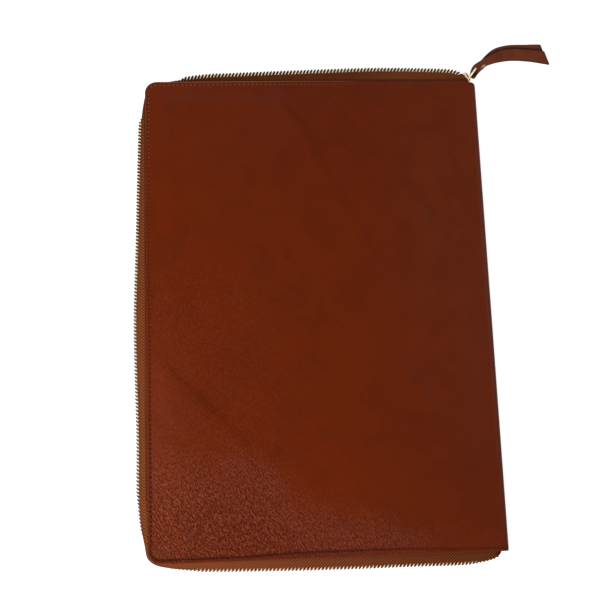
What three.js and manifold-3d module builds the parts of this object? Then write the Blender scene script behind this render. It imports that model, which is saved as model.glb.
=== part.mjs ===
import * as THREE from "three";
import { mergeVertices } from "three/addons/utils/BufferGeometryUtils.js";
import Module from "manifold-3d";

const { lerp, smoothstep, clamp, degToRad } = THREE.MathUtils;

// Cover, in mm: the flat rectangle of the closed sleeve and its wall
const COVER_WIDTH = 243.9;
const COVER_HEIGHT = 340;
const COVER_EDGE_Z = 10.5;
const LEATHER = 1.8;
const FREE_CORNER = 8.5;
const FOLD_CORNER_TOP = 7;
const FOLD_CORNER_BOTTOM = 1.5;
const HALF_W = COVER_WIDTH / 2;
const HALF_H = COVER_HEIGHT / 2;
const FOLD_RADIUS = COVER_EDGE_Z / 2;
const FOLD_X = HALF_W - FOLD_RADIUS;
const MID_Z = COVER_EDGE_Z / 2;

// Front panel: how far it swells over the pocket, and how wide the rise is
const SWELL = 3.4;
const SWELL_RISE = 85;

// Creases (negative height) and swellings of the front panel, one row each
const CREASES = [
  { x: -92, y: -53, angle: -48, length: 80, width: 11, height: -1.3 },
  { x: -100, y: -92, angle: -60, length: 100, width: 48, height: 1.2 },
  { x: -8, y: 132, angle: -55, length: 44, width: 11, height: -1.0 },
  { x: 14, y: 74, angle: -65, length: 84, width: 26, height: 0.8 },
  { x: -58, y: -42, angle: -27, length: 34, width: 11, height: -0.7 },
  { x: 80, y: 90, angle: -53, length: 62, width: 16, height: -0.9 },
  { x: 68, y: -58, angle: -55, length: 42, width: 14, height: -0.6 },
];

// Zip: woven tapes and the chain of teeth, drawn as one bar
const TAPE = 1.0;
const TAPE_HIDDEN = 7.5;
const TAPE_SLOPE = 6.5;
const TAPE_END_RISE = 0.95;
const CHAIN_WIDTH = 2.6;
const CHAIN_HEIGHT = 3.0;
const CLEARANCE = 0.3;

// Zip line: how far the chain's middle stands out from each edge, at a place along it
const ZIP_LINE = [
  { edge: "bottom", along: 117.4, out: -1.2 },
  { edge: "bottom", along: 114.6, out: 2.9 },
  { edge: "bottom", along: 104, out: 6.2 },
  { edge: "bottom", along: 50, out: 6.9 },
  { edge: "bottom", along: -8, out: 6.8 },
  { edge: "bottom", along: -58, out: 5.7 },
  { edge: "bottom", along: -93, out: 3.9 },
  { edge: "bottom", along: -109, out: 0.9 },
  { edge: "left", along: -166.2, out: -3.9 },
  { edge: "left", along: -158, out: 1.2 },
  { edge: "left", along: -146, out: 4.3 },
  { edge: "left", along: -129, out: 5.8 },
  { edge: "left", along: -87, out: 6.0 },
  { edge: "left", along: -7, out: 7.6 },
  { edge: "left", along: 49, out: 6.1 },
  { edge: "left", along: 106, out: 4.7 },
  { edge: "left", along: 142, out: 3.1 },
  { edge: "left", along: 158, out: -0.2 },
  { edge: "left", along: 166.2, out: -3.9 },
  { edge: "top", along: -109, out: 0.8 },
  { edge: "top", along: -82, out: 5.6 },
  { edge: "top", along: -53, out: 7.1 },
  { edge: "top", along: 6, out: 9.3 },
  { edge: "top", along: 47, out: 10.4 },
  { edge: "top", along: 81, out: 9.9 },
  { edge: "top", along: 104, out: 8.8 },
  { edge: "top", along: 109.5, out: 7.4 },
  { edge: "top", along: 111, out: 6.4 },
  { edge: "top", along: 112.2, out: 3.8 },
  { edge: "top", along: 113.3, out: 1.4 },
];
const ZIP_STEPS = 3;

// Slider: its middle on the zip line and the way it points in plan
const SLIDER_X = 112.8;
const SLIDER_Y = 172.5;
const SLIDER_HEADING = -65;
const SLIDER_LENGTH = 8.6;
const SLIDER_HEIGHT = 6.2;
const SLIDER_CHANNEL = 3.3;
const PLATE = 0.8;
const BAIL_LENGTH = 7.6;
const BAIL_REACH = 3.1;
const BAIL_BAR = 0.8;
const BAIL_WIDTH = 1.6;
const POST_LENGTH = 1.6;

// Ring of brass wire through the bail and the strap's hole
const WIRE = 1.3;
const RING_NEAR = { x: 116.5, y: 172.6, z: 4.4 };
const RING_FAR = { x: 123.9, y: 181.3, z: 3.45 };
const RING_HEIGHT = 5.6;
const RING_CORNER = 1.7;

// Pull strap: middle line of its top layer from the folded end outward, in plan
const STRAP = 1.6;
const STRAP_GAP = 0.3;
const STRAP_HOLE = 3.2;
const STRAP_SLANT = 4.8;
const STRAP_LINE = [
  { x: 121.4, y: 176.1, width: 4.8, fan: 0, lift: 1.75 },
  { x: 124.4, y: 181.4, width: 6.6, fan: 0, lift: 1.75 },
  { x: 129.2, y: 185.3, width: 6, fan: 0, lift: 1.3 },
  { x: 133.6, y: 187.8, width: 6.4, fan: 1.6, lift: 0.9 },
  { x: 142, y: 191.2, width: 8.2, fan: 3.9, lift: 0.35 },
  { x: 151.5, y: 193.2, width: 9.5, fan: 4.1, lift: 0 },
  { x: 165.5, y: 192.6, width: 9.7, fan: 4.8, lift: 0 },
  { x: 179.4, y: 190.6, width: 10.4, fan: 6, lift: 0 },
];
const STRAP_STEPS = 22;

const FINISH = {
  leather: new THREE.MeshStandardMaterial({ color: 0x62230f, roughness: 0.5, metalness: 0 }),
  tape: new THREE.MeshStandardMaterial({ color: 0x7d4127, roughness: 0.9, metalness: 0 }),
  brass: new THREE.MeshStandardMaterial({ color: 0xd9b48c, roughness: 0.3, metalness: 1 }),
  strap: new THREE.MeshStandardMaterial({ color: 0x5f2c1a, roughness: 0.5, metalness: 0 }),
};

const wasm = await Module();
wasm.setup();

/** Evenly spaced numbers from low to high, both included. */
function steps(low, high, count) {
  return Array.from({ length: count + 1 }, (_, i) => lerp(low, high, i / count));
}

/** Keeps only positions, joins equal vertices and turns the faces outward. */
function closed(positions, faces) {
  const geometry = new THREE.BufferGeometry();
  geometry.setAttribute("position", new THREE.Float32BufferAttribute(positions.flatMap((p) => p.toArray()), 3));
  const volume = faces.reduce((sum, [a, b, c]) => {
    const normal = positions[b].clone().cross(positions[c]);
    return sum + positions[a].dot(normal);
  }, 0);
  geometry.setIndex(faces.flatMap(([a, b, c]) => (volume < 0 ? [a, c, b] : [a, b, c])));
  return mergeVertices(geometry, 1e-4);
}

/** A sheet with thickness: two grids of points over the same lines, joined round the rim. */
function sheet(us, vs, upper, lower) {
  const rows = us.length;
  const columns = vs.length;
  const positions = [];
  for (const surface of [upper, lower]) {
    for (const u of us) {
      for (const v of vs) {
        positions.push(surface(u, v));
      }
    }
  }
  const at = (side, i, j) => side * rows * columns + i * columns + j;
  const faces = [];
  const quad = (a, b, c, d) => faces.push([a, b, c], [a, c, d]);
  for (let i = 0; i + 1 < rows; i += 1) {
    for (let j = 0; j + 1 < columns; j += 1) {
      quad(at(0, i, j), at(0, i + 1, j), at(0, i + 1, j + 1), at(0, i, j + 1));
      quad(at(1, i, j), at(1, i, j + 1), at(1, i + 1, j + 1), at(1, i + 1, j));
    }
  }
  for (let i = 0; i + 1 < rows; i += 1) {
    quad(at(0, i, 0), at(1, i, 0), at(1, i + 1, 0), at(0, i + 1, 0));
    quad(at(0, i + 1, columns - 1), at(1, i + 1, columns - 1), at(1, i, columns - 1), at(0, i, columns - 1));
  }
  for (let j = 0; j + 1 < columns; j += 1) {
    quad(at(0, 0, j + 1), at(1, 0, j + 1), at(1, 0, j), at(0, 0, j));
    quad(at(0, rows - 1, j), at(1, rows - 1, j), at(1, rows - 1, j + 1), at(0, rows - 1, j + 1));
  }
  return closed(positions, faces);
}

/** A bar through equal closed sections, with flat ends, or joined end to end. */
function bar(sections, isLoop) {
  const size = sections[0].length;
  const count = sections.length;
  const faces = [];
  for (let i = 0; i < (isLoop ? count : count - 1); i += 1) {
    const next = (i + 1) % count;
    for (let j = 0; j < size; j += 1) {
      const k = (j + 1) % size;
      faces.push([i * size + j, next * size + j, next * size + k]);
      faces.push([i * size + j, next * size + k, i * size + k]);
    }
  }
  if (!isLoop) {
    const last = (count - 1) * size;
    for (let j = 1; j + 1 < size; j += 1) {
      faces.push([0, j, j + 1]);
      faces.push([last, last + j + 1, last + j]);
    }
  }
  return closed(sections.flat(), faces);
}

/** The cover's end in plan at x: its straight edge, rounded to the corner at each side. */
function edgeY(x, foldCorner) {
  const fromFree = clamp(x + HALF_W, 0, FREE_CORNER);
  const fromFold = clamp(HALF_W - x, 0, foldCorner);
  const free = FREE_CORNER - Math.sqrt(FREE_CORNER ** 2 - (FREE_CORNER - fromFree) ** 2);
  const fold = foldCorner - Math.sqrt(foldCorner ** 2 - (foldCorner - fromFold) ** 2);
  return HALF_H - free - fold;
}

/** Height of the front panel over its edge: a broad swell with creases pressed into it. */
function relief(x, y) {
  const across = smoothstep(x + HALF_W, 0, SWELL_RISE) * smoothstep(FOLD_X - x, 0, SWELL_RISE);
  const along = smoothstep(HALF_H - Math.abs(y), 0, SWELL_RISE);
  const creases = CREASES.reduce((sum, crease) => {
    const turn = degToRad(crease.angle);
    const u = (x - crease.x) * Math.cos(turn) + (y - crease.y) * Math.sin(turn);
    const v = (y - crease.y) * Math.cos(turn) - (x - crease.x) * Math.sin(turn);
    const fall = (2 * u / crease.length) ** 4 + (2 * v / crease.width) ** 2;
    return sum + crease.height * Math.exp(-fall);
  }, 0);
  const margin = smoothstep(Math.min(x + HALF_W, FOLD_X - x, HALF_H - Math.abs(y)), 2, 30);
  return SWELL * across * along + creases * margin;
}

/** The folded cover: front panel, half round fold, flat back panel. */
function leatherCover() {
  const corner = steps(0, 90, 5).map((a) => -HALF_W + FREE_CORNER * (1 - Math.cos(degToRad(a))));
  const front = [...corner, ...steps(-HALF_W + FREE_CORNER, FOLD_X, 24).slice(1)];
  const fold = steps(0, 180, 8).slice(1, -1);
  const back = [...corner, ...steps(-HALF_W + FREE_CORNER, FOLD_X, 4).slice(1)].reverse();
  const columns = [
    ...front.map((x) => ({ part: "front", x })),
    ...fold.map((angle) => ({ part: "fold", angle, x: FOLD_X + FOLD_RADIUS * Math.sin(degToRad(angle)) })),
    ...back.map((x) => ({ part: "back", x })),
  ];
  const wall = (depth) => (column, v) => {
    const y = lerp(-edgeY(column.x, FOLD_CORNER_BOTTOM), edgeY(column.x, FOLD_CORNER_TOP), v);
    if (column.part === "front") {
      return new THREE.Vector3(column.x, y, COVER_EDGE_Z - depth + relief(column.x, y));
    }
    if (column.part === "back") {
      return new THREE.Vector3(column.x, y, depth);
    }
    const turn = degToRad(column.angle);
    const radius = FOLD_RADIUS - depth;
    return new THREE.Vector3(FOLD_X + radius * Math.sin(turn), y, MID_Z + radius * Math.cos(turn));
  };
  return sheet(columns, steps(0, 1, 33), wall(0), wall(LEATHER));
}

const ZIP_SIDE = {
  bottom: (row) => new THREE.Vector3(row.along, -HALF_H - row.out, 0),
  left: (row) => new THREE.Vector3(-HALF_W - row.out, row.along, 0),
  top: (row) => new THREE.Vector3(row.along, HALF_H + row.out, 0),
};

/** The zip line in plan: a few points for each row, each with its outward direction. */
function zipLine() {
  const curve = new THREE.CatmullRomCurve3(ZIP_LINE.map((row) => ZIP_SIDE[row.edge](row)), false, "centripetal");
  return steps(0, 1, (ZIP_LINE.length - 1) * ZIP_STEPS).map((t) => {
    const way = curve.getTangent(t);
    return { point: curve.getPoint(t), out: new THREE.Vector3(-way.y, way.x, 0) };
  });
}

/** The place under the cover's edge where the tape's hidden side starts, for a point in plan. */
function hiddenPoint(point) {
  const insetX = HALF_W - TAPE_HIDDEN;
  const insetY = HALF_H - TAPE_HIDDEN;
  const centreX = -HALF_W + FREE_CORNER;
  const centreY = Math.sign(point.y) * (HALF_H - FREE_CORNER);
  if (point.x < centreX && Math.abs(point.y) > Math.abs(centreY)) {
    const turn = Math.atan2(point.y - centreY, point.x - centreX);
    const radius = FREE_CORNER - TAPE_HIDDEN;
    return new THREE.Vector3(centreX + radius * Math.cos(turn), centreY + radius * Math.sin(turn), 0);
  }
  if (point.x < centreX) {
    return new THREE.Vector3(-insetX, point.y, 0);
  }
  return new THREE.Vector3(point.x, Math.sign(point.y) * insetY, 0);
}

/** One tape: flat under the leather, sloping to the chain; side is 1 above and -1 below. */
function zipTape(line, side) {
  const slider = new THREE.Vector3(SLIDER_X, SLIDER_Y, 0);
  const flat = COVER_EDGE_Z - LEATHER - CLEARANCE - TAPE / 2 - MID_Z;
  const surface = (lift) => ({ point, out }, v) => {
    const near = 1 - smoothstep(point.distanceTo(slider), SLIDER_LENGTH * 0.65, SLIDER_LENGTH);
    const back = CHAIN_WIDTH / 2 + CLEARANCE + near * (SLIDER_CHANNEL / 2 + PLATE - CHAIN_WIDTH / 2);
    const end = point.clone().addScaledVector(out, -back);
    const start = hiddenPoint(end);
    const place = start.clone().lerp(end, v);
    const slope = 1 - smoothstep(place.distanceTo(end), 0, TAPE_SLOPE);
    place.z = MID_Z + side * lerp(flat, TAPE_END_RISE, slope) + lift;
    return place;
  };
  return sheet(line, steps(0, 1, 3), surface(TAPE / 2), surface(-TAPE / 2));
}

/** The closed chain: a bar with sloping top and bottom that keeps the teeth's outer form. */
function zipChain(line) {
  const half = CHAIN_WIDTH / 2;
  const rise = CHAIN_HEIGHT / 2;
  const profile = [[-half, -rise], [half * 0.3, -rise], [half, -rise * 0.4], [half, rise * 0.4], [half * 0.3, rise], [-half, rise]];
  return bar(line.map(({ point, out }) => profile.map(([o, z]) => {
    const place = point.clone().addScaledVector(out, o);
    place.z = MID_Z + z;
    return place;
  })), false);
}

/** A plate cut to a rounded outline in its own plane, as thick as stated. */
function plate(length, height, corner, thickness) {
  const outline = new THREE.Shape();
  const x = length / 2;
  const y = height / 2;
  outline.moveTo(-x + corner, -y);
  outline.lineTo(x - corner, -y);
  outline.absarc(x - corner, -y + corner, corner, -Math.PI / 2, 0);
  outline.lineTo(x, y - corner);
  outline.absarc(x - corner, y - corner, corner, 0, Math.PI / 2);
  outline.lineTo(-x + corner, y);
  outline.absarc(-x + corner, y - corner, corner, Math.PI / 2, Math.PI);
  outline.lineTo(-x, -y + corner);
  outline.absarc(-x + corner, -y + corner, corner, Math.PI, Math.PI * 1.5);
  return new THREE.ExtrudeGeometry(outline, { depth: thickness, bevelEnabled: false, curveSegments: 4 });
}

/** The bail: an arch over the outer plate, bent from one bar. */
function bail() {
  const shape = new THREE.Shape();
  const x = BAIL_LENGTH / 2;
  const inner = x - BAIL_BAR;
  shape.moveTo(-x, 0);
  shape.lineTo(-x, BAIL_REACH - 1.4);
  shape.quadraticCurveTo(-x, BAIL_REACH, -x + 1.4, BAIL_REACH);
  shape.lineTo(x - 1.4, BAIL_REACH);
  shape.quadraticCurveTo(x, BAIL_REACH, x, BAIL_REACH - 1.4);
  shape.lineTo(x, 0);
  shape.lineTo(inner, 0);
  shape.lineTo(inner, BAIL_REACH - BAIL_BAR - 0.5);
  shape.quadraticCurveTo(inner, BAIL_REACH - BAIL_BAR, inner - 0.5, BAIL_REACH - BAIL_BAR);
  shape.lineTo(-inner + 0.5, BAIL_REACH - BAIL_BAR);
  shape.quadraticCurveTo(-inner, BAIL_REACH - BAIL_BAR, -inner, BAIL_REACH - BAIL_BAR - 0.5);
  shape.lineTo(-inner, 0);
  return new THREE.ExtrudeGeometry(shape, { depth: BAIL_WIDTH, bevelEnabled: false, curveSegments: 4 });
}

/** A solid for adding and cutting, from a closed geometry. */
function solid(geometry) {
  const bare = new THREE.BufferGeometry();
  bare.setAttribute("position", geometry.getAttribute("position"));
  if (geometry.index) {
    bare.setIndex(geometry.index);
  }
  const joined = mergeVertices(bare, 1e-4);
  return new wasm.Manifold(new wasm.Mesh({
    numProp: 3,
    vertProperties: new Float32Array(joined.getAttribute("position").array),
    triVerts: new Uint32Array(joined.index.array),
  }));
}

/** The geometry of a finished solid. */
function shaped(body) {
  const mesh = body.getMesh();
  const geometry = new THREE.BufferGeometry();
  geometry.setAttribute("position", new THREE.BufferAttribute(new Float32Array(mesh.vertProperties), 3));
  geometry.setIndex(new THREE.BufferAttribute(new Uint32Array(mesh.triVerts), 1));
  return geometry;
}

/** The slider: two upright plates, the bridge between them and the bail on the outer one. */
function zipSlider() {
  const upright = new THREE.Matrix4().makeRotationX(Math.PI / 2);
  const outer = SLIDER_CHANNEL / 2;
  const plates = [outer + PLATE, -outer].map((face) => {
    const geometry = plate(SLIDER_LENGTH, SLIDER_HEIGHT, 1.5, PLATE).applyMatrix4(upright);
    return solid(geometry.translate(0, face, 0));
  });
  const post = plate(POST_LENGTH, 1.8, 0.4, SLIDER_CHANNEL + PLATE).applyMatrix4(upright);
  post.translate(SLIDER_LENGTH / 2 - POST_LENGTH, outer + PLATE / 2, 0);
  const arch = bail().translate(0, outer + PLATE / 2, -BAIL_WIDTH / 2);
  const body = wasm.Manifold.union([...plates, solid(post), solid(arch)]);
  const place = new THREE.Matrix4().makeRotationZ(degToRad(SLIDER_HEADING));
  place.setPosition(SLIDER_X, SLIDER_Y, MID_Z);
  return shaped(body).applyMatrix4(place);
}

/** The ring: round wire bent to a rounded rectangle that stands on edge. */
function pullRing() {
  const near = new THREE.Vector3(RING_NEAR.x, RING_NEAR.y, RING_NEAR.z);
  const far = new THREE.Vector3(RING_FAR.x, RING_FAR.y, RING_FAR.z);
  const along = far.clone().sub(near);
  const length = along.length();
  along.normalize();
  const side = new THREE.Vector3(-along.y, along.x, 0).normalize();
  const up = along.clone().cross(side);
  const middle = near.clone().lerp(far, 0.5);
  const corners = [[1, 1, 0], [-1, 1, 90], [-1, -1, 180], [1, -1, 270]];
  const sections = corners.flatMap(([sx, sy, from]) => steps(from, from + 90, 5).map((angle) => {
    const turn = degToRad(angle);
    const x = sx * (length / 2 - RING_CORNER) + RING_CORNER * Math.cos(turn);
    const y = sy * (RING_HEIGHT / 2 - RING_CORNER) + RING_CORNER * Math.sin(turn);
    const radial = along.clone().multiplyScalar(Math.cos(turn)).addScaledVector(up, Math.sin(turn));
    const centre = middle.clone().addScaledVector(along, x).addScaledVector(up, y);
    return steps(0, 315, 7).map((a) => centre.clone()
      .addScaledVector(radial, WIRE / 2 * Math.cos(degToRad(a)))
      .addScaledVector(side, WIRE / 2 * Math.sin(degToRad(a))));
  }));
  return bar(sections, true);
}

/** A named column of the strap's table at t from 0 (folded end) to 1. */
function strapColumn(key, t) {
  const place = clamp(t, 0, 1) * (STRAP_LINE.length - 1);
  const row = Math.min(Math.floor(place), STRAP_LINE.length - 2);
  return lerp(STRAP_LINE[row][key], STRAP_LINE[row + 1][key], smoothstep(place - row, 0, 1));
}

/** The pull strap: one strip, back layer out to the fold and front layer out again, with its hole. */
function pullStrap() {
  const curve = new THREE.CatmullRomCurve3(STRAP_LINE.map((row) => new THREE.Vector3(row.x, row.y, 0)));
  const radius = (STRAP + STRAP_GAP) / 2;
  const stations = [
    ...steps(1, 0, STRAP_STEPS).map((t) => ({ t, turn: -90, layer: "back" })),
    ...steps(-90, 90, 8).slice(1, -1).map((turn) => ({ t: 0, turn, layer: "fold" })),
    ...steps(0, 1, STRAP_STEPS).map((t) => ({ t, turn: 90, layer: "front" })),
  ];
  const surface = (offset) => ({ t, turn, layer }, v) => {
    const middle = curve.getPoint(t);
    const way = curve.getTangent(t);
    const across = new THREE.Vector3(-way.y, way.x, 0);
    const fan = layer === "back" ? strapColumn("fan", t) : 0;
    const width = strapColumn("width", t);
    const aside = (v - 0.5) * width + fan;
    const slant = -STRAP_SLANT * smoothstep(t, 0.75, 1) * aside / width;
    const reach = radius + offset;
    const lean = degToRad(turn);
    const place = middle.clone().addScaledVector(across, aside).addScaledVector(way, slant);
    place.addScaledVector(way, -reach * Math.cos(lean));
    place.z = strapColumn("lift", t) + STRAP + STRAP_GAP / 2 + reach * Math.sin(lean);
    return place;
  };
  const strip = sheet(stations, steps(0, 1, 2), surface(STRAP / 2), surface(-STRAP / 2));
  const drill = new THREE.CylinderGeometry(STRAP_HOLE / 2, STRAP_HOLE / 2, 20, 16);
  drill.rotateX(Math.PI / 2).translate(RING_FAR.x, RING_FAR.y, 0);
  return shaped(solid(strip).subtract(solid(drill)));
}

/** A named mesh of the part. */
function piece(name, geometry, material) {
  geometry.computeVertexNormals();
  const mesh = new THREE.Mesh(geometry, material);
  mesh.name = name;
  return mesh;
}

const line = zipLine();
const sleeve = new THREE.Group();
sleeve.name = "laptop_sleeve";
sleeve.add(
  piece("leather_cover", leatherCover(), FINISH.leather),
  piece("zip_tape_upper", zipTape(line, 1), FINISH.tape),
  piece("zip_tape_lower", zipTape(line, -1), FINISH.tape),
  piece("zip_chain", zipChain(line), FINISH.brass),
  piece("zip_slider", zipSlider(), FINISH.brass),
  piece("pull_ring", pullRing(), FINISH.brass),
  piece("pull_strap", pullStrap(), FINISH.strap),
);

export default sleeve;
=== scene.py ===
"""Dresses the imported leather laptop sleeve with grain, zip, stitches and pull.

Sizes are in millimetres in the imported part's frame: the back panel lies on the floor at z = 0,
+X points to the folded side, +Y to the end with the slider and +Z out of the front panel.
Meshes are written in metres.
"""

from __future__ import annotations

import logging
from collections.abc import Sequence
from dataclasses import dataclass, field
from enum import Enum
from functools import cached_property, partial, reduce

import bpy
import numpy as np
from mathutils import Matrix, Vector

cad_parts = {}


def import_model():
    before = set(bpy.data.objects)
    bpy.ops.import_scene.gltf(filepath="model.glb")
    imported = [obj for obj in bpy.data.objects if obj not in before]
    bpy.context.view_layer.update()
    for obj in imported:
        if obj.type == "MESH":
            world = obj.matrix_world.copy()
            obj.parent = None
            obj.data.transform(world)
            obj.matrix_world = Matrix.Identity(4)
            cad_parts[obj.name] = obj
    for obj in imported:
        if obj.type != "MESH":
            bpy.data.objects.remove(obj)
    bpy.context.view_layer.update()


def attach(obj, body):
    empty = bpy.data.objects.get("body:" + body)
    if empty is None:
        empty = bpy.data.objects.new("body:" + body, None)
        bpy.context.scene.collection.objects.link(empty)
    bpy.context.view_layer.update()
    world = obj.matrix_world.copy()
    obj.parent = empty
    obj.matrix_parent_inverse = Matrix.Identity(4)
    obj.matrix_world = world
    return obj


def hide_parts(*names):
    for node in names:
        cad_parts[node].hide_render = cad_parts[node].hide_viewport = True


Array = np.ndarray
Colour = tuple[float, float, float]
Socket = bpy.types.NodeSocket

MM = 0.001
BODY = "root"
LOW_LEFT_WEIGHTS = (-6.0, -3.4)
MIX_COLOUR_SOCKETS = (6, 7)
MIX_COLOUR_RESULT = 2
LOG = logging.getLogger("sleeve")


class Edge(Enum):
    """The free edges of the cover that the zip runs along."""

    BOTTOM = "bottom"
    LEFT = "left"
    TOP = "top"


class TapeSide(Enum):
    """Which panel a zip tape is sewn to."""

    UPPER = 1
    LOWER = -1


class Slot(Enum):
    """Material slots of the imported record."""

    COVER = "cover_leather"
    TAPE = "zip_tape"
    BRASS = "zip_brass"
    STRAP = "strap_leather"


def ease(value: Array, low: float, high: float) -> Array:
    """Smooth step from 0 at low to 1 at high: 3t^2 - 2t^3.

    Args:
        value: Numbers to map.
        low: Where the step starts.
        high: Where the step ends.

    Returns:
        Values between 0 and 1.
    """
    t = np.clip((value - low) / (high - low), 0.0, 1.0)
    return t * t * (3.0 - 2.0 * t)


@dataclass(frozen=True)
class Fade:
    """A smooth step: start up to low, end from high on, and 3t^2 - 2t^3 of the way between them."""

    low: float
    high: float
    start: float = 0.0
    end: float = 1.0

    def at(self, value: Array) -> Array:
        """The step at each value."""
        return self.start + (self.end - self.start) * ease(value, self.low, self.high)

    def sockets(self) -> dict[str, float]:
        """The step as values for the sockets of a Map Range node."""
        return {"From Min": self.low, "From Max": self.high, "To Min": self.start, "To Max": self.end}


def through(points: Array, places: Array) -> Array:
    """Centripetal curve through points: a cubic for each span.

    The slope at a point weighs its two neighbours by the square roots of their distances.

    Args:
        points: Rows of coordinates, in order.
        places: Positions counted in rows, from 0 to the last row's number.

    Returns:
        One row of coordinates for each place.
    """
    rows = np.vstack([2 * points[0] - points[1], points, 2 * points[-1] - points[-2]])
    span = np.minimum(places.astype(int), len(points) - 2)
    t = (places - span)[:, None]
    p0, p1, p2, p3 = (rows[span + k] for k in range(4))
    pairs = ((p0, p1), (p1, p2), (p2, p3))
    d0, d1, d2 = (np.sqrt(np.linalg.norm(b - a, axis=1))[:, None] for a, b in pairs)
    m1 = ((p1 - p0) / d0 - (p2 - p0) / (d0 + d1) + (p2 - p1) / d1) * d1
    m2 = ((p2 - p1) / d1 - (p3 - p1) / (d1 + d2) + (p3 - p2) / d2) * d1
    return p1 + m1 * t + (3 * (p2 - p1) - 2 * m1 - m2) * t**2 + (2 * (p1 - p2) + m1 + m2) * t**3


def unit(vectors: Array) -> Array:
    """Rows of vectors at length one."""
    return vectors / np.linalg.norm(vectors, axis=-1, keepdims=True)


def lengths_of(line: Array) -> Array:
    """Length from a line's start to each of its points: the sum of the steps so far."""
    return np.concatenate([[0], np.cumsum(np.linalg.norm(np.diff(line, axis=0), axis=1))])


def read_along(values: Array, lengths: Array, stops: Array) -> Array:
    """Rows of values read at stops along a line, straight between its points.

    Args:
        values: One row for each point of the line.
        lengths: Length from the line's start to each point.
        stops: Lengths to read at.

    Returns:
        One row for each stop.
    """
    return np.stack([np.interp(stops, lengths, column) for column in values.T], axis=1)


def quads(rows: int, columns: int, wrap_rows: bool = False, wrap_columns: bool = False) -> Array:
    """Quads over a grid of points stored row by row.

    Args:
        rows: Number of rows of points.
        columns: Number of points in a row.
        wrap_rows: Whether the last row joins the first.
        wrap_columns: Whether the last point of a row joins the first.

    Returns:
        One row of four point numbers for each quad.
    """
    i = np.arange(rows if wrap_rows else rows - 1)[:, None]
    j = np.arange(columns if wrap_columns else columns - 1)[None, :]
    i1, j1 = (i + 1) % rows, (j + 1) % columns
    corners = (i * columns + j, i1 * columns + j, i1 * columns + j1, i * columns + j1)
    return np.stack([np.broadcast_to(c, (i.size, j.size)) for c in corners], axis=-1).reshape(-1, 4)


@dataclass
class Surface:
    """Points in millimetres, the quads over them and named marks at the points."""

    points: Array
    faces: Array
    marks: dict[str, Array] = field(default_factory=dict)

    def outward(self) -> Surface:
        """Turns a closed surface so that its faces point out: the enclosed volume is positive.

        Returns:
            This surface.
        """
        a, b, c, d = (self.points[self.faces[:, k]] for k in range(4))
        volume = np.einsum("ij,ij->", a, np.cross(b, c)) + np.einsum("ij,ij->", a, np.cross(c, d))
        if volume < 0:
            self.faces = self.faces[:, ::-1]
        return self

    def with_others(self, *others: Surface) -> Surface:
        """Joins surfaces into one.

        Args:
            *others: Surfaces with the same marks.

        Returns:
            A new surface.
        """
        every = (self, *others)
        starts = np.cumsum([0] + [len(s.points) for s in every[:-1]])
        faces = np.vstack([s.faces + start for s, start in zip(every, starts)])
        marks = {key: np.concatenate([s.marks[key] for s in every]) for key in self.marks}
        return Surface(np.vstack([s.points for s in every]), faces, marks)

    def repeated(self, origins: Array, axes: Array) -> Surface:
        """Copies the surface to many places.

        Point p of copy k is origin k plus p's coordinates along that copy's three axes.

        Args:
            origins: One point for each copy.
            axes: For each copy, three rows of unit vectors.

        Returns:
            All the copies as one surface, with the copy's number marked as "copy".
        """
        points = origins[:, None, :] + np.einsum("pa,kac->kpc", self.points, axes)
        faces = self.faces[None] + (np.arange(len(origins)) * len(self.points))[:, None, None]
        marks = {key: np.tile(values, len(origins)) for key, values in self.marks.items()}
        marks["copy"] = np.repeat(np.arange(len(origins), dtype=float), len(self.points))
        return Surface(points.reshape(-1, 3), faces.reshape(-1, 4), marks)

    def piece(self, name: str, material: bpy.types.Material, nodes: Sequence[str], slot: Slot,
              crease_deg: float | None = None) -> bpy.types.Object:
        """Writes the surface to a mesh object that stands for CAD nodes.

        Args:
            name: The object's name.
            material: Its finish.
            nodes: The CAD nodes that it replaces.
            slot: The record's material slot; not used.
            crease_deg: Edges sharper than this stay sharp. None shades everything smooth.

        Returns:
            The new object, riding on the part's body.
        """
        mesh = bpy.data.meshes.new(name)
        mesh.vertices.add(len(self.points))
        mesh.vertices.foreach_set("co", (self.points * MM).astype(np.float32).ravel())
        mesh.loops.add(self.faces.size)
        mesh.loops.foreach_set("vertex_index", self.faces.astype(np.int32).ravel())
        mesh.polygons.add(len(self.faces))
        mesh.polygons.foreach_set("loop_start", np.arange(0, self.faces.size, 4, dtype=np.int32))
        mesh.update(calc_edges=True)
        mesh.shade_smooth()
        if crease_deg is not None:
            mesh.set_sharp_from_angle(angle=np.radians(crease_deg))
        for key, values in self.marks.items():
            attribute = mesh.attributes.new(key, "FLOAT", "POINT")
            attribute.data.foreach_set("value", values.astype(np.float32))
        mesh.materials.append(material)
        made = bpy.data.objects.new(name, mesh)
        bpy.context.collection.objects.link(made)
        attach(made, BODY)
        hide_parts(*nodes)
        LOG.info("%s: %d quads", name, len(self.faces))
        return made


def swept(sections: Array, loop: bool = False, marks: dict[str, Array] | None = None) -> Surface:
    """A closed bar through equal closed sections: a grid of station by place round the section.

    Flat ends are closed with a strip of quads from one side of the section to the other.

    Args:
        sections: Stations by section points by three.
        loop: Whether the last section joins the first.
        marks: Named values, one for each point of the grid.

    Returns:
        The bar, facing outward.
    """
    count, size, _ = sections.shape
    faces = [quads(count, size, loop, True)]
    if not loop:
        j = np.arange(size // 2 - 1)
        end = np.stack([j, j + 1, size - 2 - j, size - 1 - j], axis=1)
        faces += [end, (count - 1) * size + end[:, ::-1]]
    flat = {key: values.reshape(-1) for key, values in (marks or {}).items()}
    return Surface(sections.reshape(-1, 3), np.vstack(faces), flat).outward()


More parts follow.
